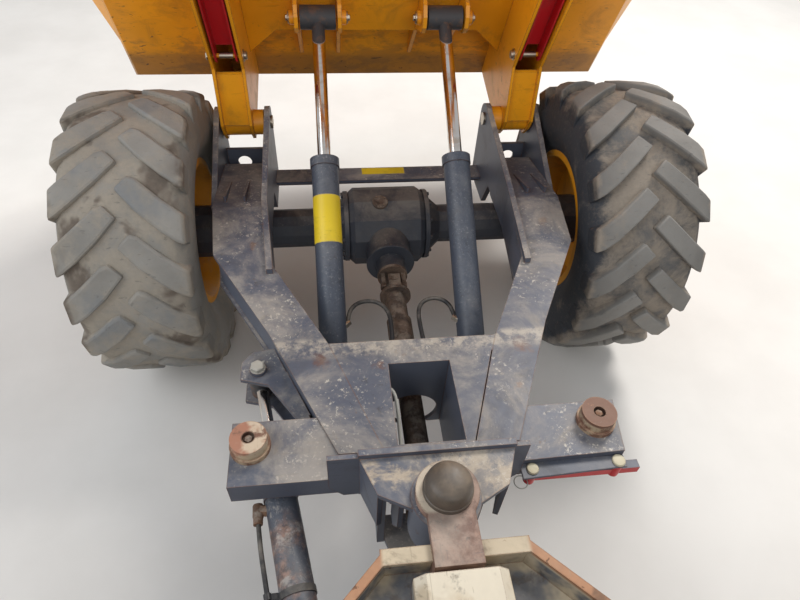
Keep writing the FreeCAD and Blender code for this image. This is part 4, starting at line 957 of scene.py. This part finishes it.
class DUMPER_OT_seat(bpy.types.Operator):
    """Make the operator's cushion and backrest with their sewn channels"""

    bl_idname = "dumper.seat"
    bl_label = "Seat"

    def execute(self, context):
        low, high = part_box("seat")
        floor, rear = low.z + 0.004, low.y + 0.045
        cushion = block((low.x + 0.018, low.y + 0.065, low.z),
                        (high.x - 0.018, high.y - 0.012, low.z + 0.092))
        back = block((low.x + 0.028, rear, low.z + 0.100),
                     (high.x - 0.028, low.y + 0.120, high.z - 0.022))
        with editing(back, lambda c, n: n.z > 0.9):
            bpy.ops.transform.translate(value=(0, -0.045, 0))
            resize((0.8, 0.6, 1), (0, low.y + 0.03, high.z))
        pads = (
            # piece, name, where it rests, way its sewn side faces, x of its channels
            (cushion, "seat_cushion", lambda p: p.z < floor,
             Vector((0, 0, 1)), (-0.075, 0.075)),
            (back, "seat_back", lambda p: p.y < rear - (p.z - low.z) * 0.08,
             Vector((0, 1, 0)), (-0.065, 0.065)),
        )
        for one, name, rests, sewn, channels in pads:
            soften(one, 0.020, 4, 50)
            pad_out(one, rests)
            for x in channels:
                with editing(one, lambda p, n: abs(p.x - x) < 0.0045 and n.dot(sewn) > 0.5,
                             "VERT"):
                    bpy.ops.transform.translate(value=sewn * -0.011, use_proportional_edit=True,
                                                proportional_size=0.022)
            round_off = one.modifiers.new("round_off", "SUBSURF")
            round_off.levels = round_off.render_levels = 1
            bpy.ops.object.modifier_apply(modifier=round_off.name)
            done(one, 60)
            finished(one, name, "seat", "seat_vinyl", "seat")
        return {"FINISHED"}


class DUMPER_OT_labels(bpy.types.Operator):
    """Make the plain yellow labels on the left ram and the front crossbeam"""

    bl_idname = "dumper.labels"
    bl_label = "Labels"

    def execute(self, context):
        end = RAM_LABEL_AT + context.scene.dumper_sizes.label_width
        sleeve = turned(((RAM_LABEL_AT, 0.0450), (RAM_LABEL_AT, 0.0456), (end, 0.0456),
                         (end, 0.0450)), 48, closed=True)
        with editing(sleeve, lambda c, n: c.z < 0.004 and abs(c.z) + abs(c.y) > 0.001):
            bpy.ops.mesh.delete(type="FACE")
        put(sleeve, (-RAM_FOOT.x, RAM_FOOT.y, RAM_FOOT.z), RAM_WAY)
        finished(sleeve, "ram_label", "tip_ram_barrel_left", "label_yellow")
        low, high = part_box("front_crossbeam")
        plate = block((-0.075, high.y - 0.050, high.z), (0.107, high.y - 0.004, high.z + 0.0006))
        finished(soften(plate, 0.0002, 1), "beam_label", "front_crossbeam", "label_yellow")
        return {"FINISHED"}


class DUMPER_OT_pivot_cap(bpy.types.Operator):
    """Make the domed cap over the steering pivot"""

    bl_idname = "dumper.pivot_cap"
    bl_label = "Pivot cap"

    def execute(self, context):
        dome = turned((
            # height, radius
            (0.0, 0.0530), (0.012, 0.0530), (0.0135, 0.0510), (0.026, 0.0500), (0.036, 0.0470),
            (0.043, 0.0415), (0.048, 0.0330), (0.0505, 0.0220), (0.0515, 0.0100)), 64)
        put(dome, (0, PIVOT_Y, 0.897), (0, 0, 1))
        finished(dome, "pivot_cap", "pivot_pins", "cap_brown")
        return {"FINISHED"}


class DUMPER_OT_fasteners(bpy.types.Operator):
    """Make the pin keepers, pin heads and bolts that hold the pins and pads"""

    bl_idname = "dumper.fasteners"
    bl_label = "Keepers and bolts"

    def execute(self, context):
        keepers, heads, pads = [], [], []
        for side in (-1, 1):
            for x, way in ((side * 0.325, side), (side * 0.125, -side)):
                washer = turned(((0, 0.0200), (0.004, 0.0200), (0.0055, 0.0185)), 40)
                keepers.append(put(washer, (x, RAM_EYE.y, RAM_EYE.z), (way, 0, 0)))
                place = (x + way * 0.005, RAM_EYE.y, RAM_EYE.z)
                keepers.append(hex_bolt(0.022, 0.008, place, (way, 0, 0)))
            head = turned(((0, 0.0210), (0.005, 0.0210), (0.006, 0.0150), (0.013, 0.0150),
                           (0.015, 0.0130)), 40)
            heads.append(put(head, (side * 0.496, *PROP_PIN), (-side, 0, 0)))
            outer = (side * 0.614, *PROP_PIN)
            heads.append(hex_bolt(0.030, 0.010, outer, (side, 0, 0), 0.0190))
            sleeve = band(0.0080, 0.0030, 0.024, 32)
            heads.append(put(sleeve, (side * 0.553, *PROP_PIN), (1, 0, 0)))
            pads.append(hex_bolt(0.0210, 0.0085, (side * PAD[0], PAD[1], 0.796)))
        steering = hex_bolt(0.040, 0.014, (*STEER_PIN, 0.706), washer=0.0215)
        cotter = turned(((-0.024, 0.0018), (0.024, 0.0018)), 12)
        put(cotter, (*STEER_PIN, 0.718), (0.8, 0.6, 0.0))
        groups = (
            # pieces, name, node that carries them, finish
            (keepers, "ram_pin_keepers", "skip_ram_beam", "pin_steel"),
            (heads, "prop_pin_heads", "skip_arms", "pin_steel"),
            (pads, "pad_bolts", "rest_pads", "rusty_steel"),
            ([steering, cotter], "steering_pin_bolt", "steering_bracket", "dull_zinc"),
        )
        for pieces, name, carrier, finish in groups:
            finished(soften(joined(pieces), 0.0005, 1), name, carrier, finish)
        return {"FINISHED"}


class DUMPER_OT_lock_bar(bpy.types.Operator):
    """Make the lock bar's top plate, its round pin heads and the spring ring on its end"""

    bl_idname = "dumper.lock_bar"
    bl_label = "Lock bar fittings"

    def execute(self, context):
        plate = block((0.212, -0.234, 0.7410), (0.478, -0.190, 0.7470))
        with editing(plate):
            bpy.ops.mesh.bisect(plane_co=(0.395, 0, 0), plane_no=(1, 0.25, 0))
        with editing(plate, lambda c, n: c.x > 0.44 and c.y < -0.22, "VERT"):
            bpy.ops.transform.translate(value=(0.0, 0.010, 0))
        finished(soften(plate, 0.0022, 2), "lock_plate", "lock_bar", "plate_paint")
        heads = []
        for x, y, r in ((0.241, -0.210, 0.0150), (0.460, -0.207, 0.0165)):
            head = turned(((0, r), (0.0035, r), (0.0060, r - 0.0015), (0.0072, r * 0.6),
                           (0.0075, r * 0.2)), 40)
            heads.append(put(head, (x, y, LOCK_TOP), (0, 0, 1)))
        finished(joined(heads), "lock_pin_heads", "lock_bar", "cap_cream")
        ring = new("torus", major_radius=0.0165, minor_radius=0.0013, major_segments=40,
                   minor_segments=8, location=LOCK_RING)
        with editing(ring, lambda c, n: c.y > -0.222):
            turn(math.radians(4), "Z", LOCK_RING)
        finished(done(ring), "lock_ring", "lock_bar", "dull_zinc")
        return {"FINISHED"}


RAM_PIPE = (
    (-0.4215, -0.236, 0.636), (-0.4180, -0.262, 0.636), (-0.4110, -0.310, 0.636),
    (-0.3930, -0.400, 0.637), (-0.3700, -0.520, 0.637), (-0.3420, -0.660, 0.637),
    (-0.3250, -0.730, 0.637), (-0.3130, -0.765, 0.636), (-0.2950, -0.772, 0.636),
    (-0.2680, -0.766, 0.636))


class DUMPER_OT_ram_pipe(bpy.types.Operator):
    """Make the steering ram's elbow, its steel pipe and the band that holds it"""

    bl_idname = "dumper.ram_pipe"
    bl_label = "Steering ram pipe"

    def execute(self, context):
        nut = turned(((0.0, 0.0105), (0.014, 0.0105), (0.015, 0.0150), (0.040, 0.0150),
                      (0.041, 0.0120), (0.046, 0.0120)), 6)
        put(soften(nut, 0.0010, 1), (-0.3790, -0.2090, 0.636), (-0.985, 0.12, 0))
        elbow = turned(((0.0, 0.0120), (0.003, 0.0135), (0.030, 0.0135), (0.033, 0.0120),
                        (0.050, 0.0115)), 24)
        put(elbow, (-0.4240, -0.1900, 0.636), (0.05, -1.0, 0))
        finished(done(joined([nut, elbow])), "pipe_elbow", "steer_ram_barrel", "rusty_steel")
        pipe = tube(RAM_PIPE, 0.0058, "ram_pipe", mesh=True)
        finished(pipe, "ram_pipe", "steer_ram_barrel", "hose_rubber")
        clamp = put(band(0.0402, 0.0026, 0.008, 56), (-0.3265, -0.4050, 0.636), STEER_RAM_WAY)
        clip = put(band(0.0059, 0.0031, 0.007, 20), (-0.3922, -0.4050, 0.637), STEER_RAM_WAY)
        strap = block((-0.3870, -0.4125, 0.6330), (-0.3640, -0.3975, 0.6400))
        pieces = [clamp, clip, soften(strap, 0.0015, 2)]
        finished(joined(pieces), "pipe_band", "steer_ram_barrel", "black_plastic")
        return {"FINISHED"}


class DUMPER_OT_axle_fittings(bpy.types.Operator):
    """Make the hub caps, and the flanges, bolts and round cover of the front differential"""

    bl_idname = "dumper.axle_fittings"
    bl_label = "Axle fittings"

    def execute(self, context):
        pieces = [turned(((-0.002, 0.0540), (0.006, 0.0540), (0.009, 0.0500), (0.013, 0.0360),
                          (0.015, 0.0180), (0.0155, 0.0060)), 48)]
        for _, y, z in around(6, 0.0450, 30):
            pieces.append(hex_bolt(0.011, 0.004, (0.0062, y, z), (1, 0, 0)))
        cap = soften(joined(pieces), 0.0004, 1)
        for end, y in (("front", SHIFT), ("rear", REAR_Y)):
            pair = [copied(cap, (-HUB_END, y, AXLE_Z), turn_z=math.pi),
                    copied(cap, (HUB_END, y, AXLE_Z))]
            finished(joined(pair), end + "_hub_caps", end + "_axle", "axle_paint")
        bpy.data.objects.remove(cap)
        pieces = []
        for side in (-1, 1):
            flange = turned(((-0.009, 0.1380), (0.007, 0.1380), (0.009, 0.1360), (0.009, 0.0900),
                             (-0.009, 0.1000)), 64, closed=True)
            pieces.append(put(flange, (side * 0.1560, SHIFT, AXLE_Z), (side, 0, 0)))
            for _, y, z in around(12, 0.127, 15):
                place = (side * 0.1650, SHIFT + y, AXLE_Z + z)
                pieces.append(hex_bolt(0.015, 0.008, place, (side, 0, 0)))
        lip = turned(((-0.012, 0.0880), (-0.010, 0.0900), (0.008, 0.0900), (0.010, 0.0880)), 48)
        pieces.append(put(lip, (0, SHIFT - 0.222, AXLE_Z), (0, -1, 0)))
        flanges = soften(joined(pieces), 0.0005, 1)
        finished(flanges, "differential_flanges", "front_axle", "axle_paint")
        upright = (0, -0.26, 0.965)
        lid = turned(((-0.006, 0.0300), (0.004, 0.0300), (0.006, 0.0280), (0.0065, 0.0150),
                      (0.0050, 0.0120), (0.0050, 0.0030)), 40)
        pieces = [put(lid, (-0.026, 0.947, 0.681), upright)]
        for _, c, s in around(4, 1.0, 35):
            place = (-0.026 + 0.0215 * c, 0.9455 + 0.0210 * s, 0.6870 + 0.0057 * s)
            pieces.append(hex_bolt(0.009, 0.005, place, upright))
        finished(joined(pieces), "differential_cover", "front_axle", "shaft_steel")
        return {"FINISHED"}


class DUMPER_OT_rear_fittings(bpy.types.Operator):
    """Make the pedals, bonnet latches, tank cap and the frames round the rear lamps"""

    bl_idname = "dumper.rear_fittings"
    bl_label = "Rear fittings"

    def execute(self, context):
        pedals, latches, frames = [], [], []
        heel, rib = -0.760, 0.0165
        for x in (-0.175, 0.175):
            pad = block((x - 0.034, heel, 0.813), (x + 0.034, -0.645, 0.821))
            with editing(pad):
                bpy.ops.mesh.subdivide(number_cuts=6)
            with editing(pad, lambda c, n: n.z > 0.9 and int((c.y - heel) / rib) % 2 == 1
                         and abs(c.x - x) < 0.030):
                extrude(0, 0, 0.0025)
            with editing(pad):
                turn(math.radians(32), "X", (x, heel, 0.815))
            stem = tube(((x, -0.655, 0.868), (x, -0.640, 0.850), (x, -0.632, 0.812)), 0.006,
                        "stem", mesh=True)
            pedals.append(joined([soften(pad, 0.0012, 1), stem]))
        finished(joined(pedals), "pedals", "footwell", "black_plastic")
        for side in (-1, 1):
            x = side * 0.3435
            strap = block((x - 0.004, -1.620, 1.010), (x + 0.004, -1.592, 1.095))
            with editing(strap, lambda c, n: c.z > 1.09):
                extrude(0, 0, 0.018)
                resize((1.8, 1.7, 1), (x, -1.606, 1.113))
            latches.append(soften(strap, 0.0022, 2))
            x = side * 0.490
            rim = block((x - 0.058, -2.1500, 0.792), (x + 0.058, -2.1430, 0.868))
            frames.append(soften(rim, 0.0030, 3))
        finished(joined(latches), "bonnet_latches", "bonnet", "hose_rubber")
        finished(joined(frames), "lamp_frames", "rear_lamps", "black_plastic")
        cap = turned(((-0.004, 0.0260), (0.006, 0.0260), (0.007, 0.0340), (0.020, 0.0340),
                      (0.023, 0.0310), (0.024, 0.0120)), 16)
        put(soften(cap, 0.0012, 1), (0.520, -0.828, 0.800), (0, 0, 1))
        finished(cap, "tank_cap", "side_tanks", "black_plastic")
        return {"FINISHED"}


HOSES = (
    # name, radius, finish, stiffness, length, points of its line
    ("well_hose", 0.0050, "white_hose", "medium", 0.371, (
        (-0.080, 0.084, 0.705), (-0.064, 0.076, 0.700), (-0.057, 0.045, 0.675),
        (-0.055, 0.000, 0.635), (-0.053, -0.050, 0.604), (-0.050, -0.100, 0.593),
        (-0.048, -0.150, 0.590), (-0.054, -0.195, 0.590), (-0.090, -0.232, 0.592))),
    ("ram_hose_left", 0.0070, "hose_rubber", "stiff", 0.5386, (
        (-0.176, 0.412, 0.606), (-0.172, 0.455, 0.610), (-0.145, 0.492, 0.612),
        (-0.105, 0.503, 0.612), (-0.065, 0.490, 0.612), (-0.040, 0.450, 0.612),
        (-0.036, 0.390, 0.610), (-0.040, 0.310, 0.602), (-0.050, 0.220, 0.592),
        (-0.055, 0.126, 0.588))),
    ("ram_hose_right", 0.0070, "hose_rubber", "stiff", 0.5156, (
        (0.176, 0.412, 0.606), (0.173, 0.452, 0.612), (0.150, 0.487, 0.616),
        (0.112, 0.497, 0.618), (0.075, 0.480, 0.618), (0.056, 0.440, 0.618),
        (0.056, 0.370, 0.612), (0.062, 0.290, 0.602), (0.066, 0.210, 0.592),
        (0.066, 0.126, 0.588))),
)


class DUMPER_OT_hoses(bpy.types.Operator):
    """Lay the tipping rams' two hoses with their ports, and the pale hose in the pivot's shaft"""

    bl_idname = "dumper.hoses"
    bl_label = "Hoses"

    def execute(self, context):
        for name, radius, finish, stiffness, length, points in HOSES:
            hose = tube(points, radius, name)
            finished(hose, name, "pivot_box", finish)
        for end, side in (("left", -1), ("right", 1)):
            port = turned(((0.0, 0.0120), (0.018, 0.0120), (0.019, 0.0105), (0.030, 0.0105)), 6)
            put(soften(port, 0.0008, 1), (side * 0.192, 0.398, 0.604), (-side * 0.75, 0.66, 0))
            finished(port, "ram_port_" + end, "tip_ram_barrel_" + end, "pin_steel")
        return {"FINISHED"}


LAMPS = (
    # name, place, power, size, colour
    ("key_lamp", (3.2, 4.2, 6.5), 520, 2.6, (1.0, 0.965, 0.92)),
    ("fill_lamp", (-4.5, -1.0, 5.0), 150, 4.0, (0.93, 0.96, 1.0)),
    ("back_lamp", (0.5, -5.5, 4.5), 130, 3.0, (1.0, 0.99, 0.97)),
)
LAMPS_AIM = Vector((0, 0.4, 0.6))
CAMERA_PLACE = (-0.20949, -1.82658 + SHIFT, 2.03515)
CAMERA_ANGLES = (46.413, 9.047, 3.738)      # down, to the right, rolled


def camera_turn():
    """The camera's three axes, from its angles."""
    down, yaw, roll = (math.radians(a) for a in CAMERA_ANGLES)
    ahead = Vector((math.sin(yaw) * math.cos(down), math.cos(yaw) * math.cos(down),
                    -math.sin(down)))
    level = Vector((math.cos(yaw), -math.sin(yaw), 0))
    rise = level.cross(ahead)
    right = level * math.cos(roll) + rise * math.sin(roll)
    up = rise * math.cos(roll) - level * math.sin(roll)
    return Matrix((right, up, -ahead)).transposed().to_4x4()


class DUMPER_OT_stage(bpy.types.Operator):
    """Make the pale floor, the soft lamps and the camera"""

    bl_idname = "dumper.stage"
    bl_label = "Floor, lamps and camera"

    def execute(self, context):
        scene = context.scene
        floor = new("plane", size=60)
        floor.name = "pale_floor"
        f = Finish("pale_floor", Roughness=0.85, Specular_IOR_Level=0.2)
        soil = f.step(f.noise(1.4, 5, 0.6), 0.3, 0.7)
        f.feed(Base_Color=f.mix(soil, (0.66, 0.64, 0.61), (0.72, 0.70, 0.67)))
        floor.data.materials.append(f.material)
        scene.world = bpy.data.worlds.new("soft_sky")
        scene.world.use_nodes = True
        background = scene.world.node_tree.nodes["Background"]
        background.inputs["Color"].default_value = (0.93, 0.96, 1.0, 1)
        background.inputs["Strength"].default_value = 0.62
        for name, place, power, size, colour in LAMPS:
            data = bpy.data.lights.new(name, "AREA")
            data.energy = power
            data.size = size
            data.color = colour
            lamp = bpy.data.objects.new(name, data)
            scene.collection.objects.link(lamp)
            lamp.location = place
            lamp.rotation_mode = "QUATERNION"
            lamp.rotation_quaternion = (LAMPS_AIM - Vector(place)).to_track_quat("-Z", "Y")
        data = bpy.data.cameras.new("operator_view")
        data.lens = 26.30
        data.sensor_width = 36
        data.clip_start = 0.02
        camera = bpy.data.objects.new("operator_view", data)
        scene.collection.objects.link(camera)
        camera.matrix_world = Matrix.Translation(CAMERA_PLACE) @ camera_turn()
        scene.camera = camera
        scene.view_settings.view_transform = "Standard"
        return {"FINISHED"}


OPERATORS = (
    DUMPER_OT_stage, DUMPER_OT_paint, DUMPER_OT_tyres, DUMPER_OT_rims, DUMPER_OT_steering_wheel,
    DUMPER_OT_seat, DUMPER_OT_labels, DUMPER_OT_pivot_cap, DUMPER_OT_fasteners,
    DUMPER_OT_lock_bar, DUMPER_OT_ram_pipe, DUMPER_OT_axle_fittings, DUMPER_OT_rear_fittings,
    DUMPER_OT_hoses)


class DUMPER_PT_panel(bpy.types.Panel):
    """Sidebar panel with the settings and one button for each group of pieces."""

    bl_idname = "DUMPER_PT_panel"
    bl_label = "Site dumper"
    bl_space_type = "VIEW_3D"
    bl_region_type = "UI"
    bl_category = "Dumper"

    def draw(self, context):
        for group in (context.scene.dumper_sizes, context.scene.dumper_tones):
            for key in type(group).__annotations__:
                self.layout.prop(group, key)
        for kind in OPERATORS:
            self.layout.operator(kind.bl_idname)


CLASSES = (DUMPER_PG_sizes, DUMPER_PG_tones, *OPERATORS, DUMPER_PT_panel)


def register():
    for kind in CLASSES:
        bpy.utils.register_class(kind)
    bpy.types.Scene.dumper_sizes = bpy.props.PointerProperty(type=DUMPER_PG_sizes)
    bpy.types.Scene.dumper_tones = bpy.props.PointerProperty(type=DUMPER_PG_tones)


def unregister():
    del bpy.types.Scene.dumper_tones
    del bpy.types.Scene.dumper_sizes
    for kind in reversed(CLASSES):
        bpy.utils.unregister_class(kind)


def main():
    register()
    for kind in OPERATORS:
        group, name = kind.bl_idname.split(".")
        getattr(getattr(bpy.ops, group), name)()
    bpy.context.view_layer.update()


if __name__ == "__main__":
    main()
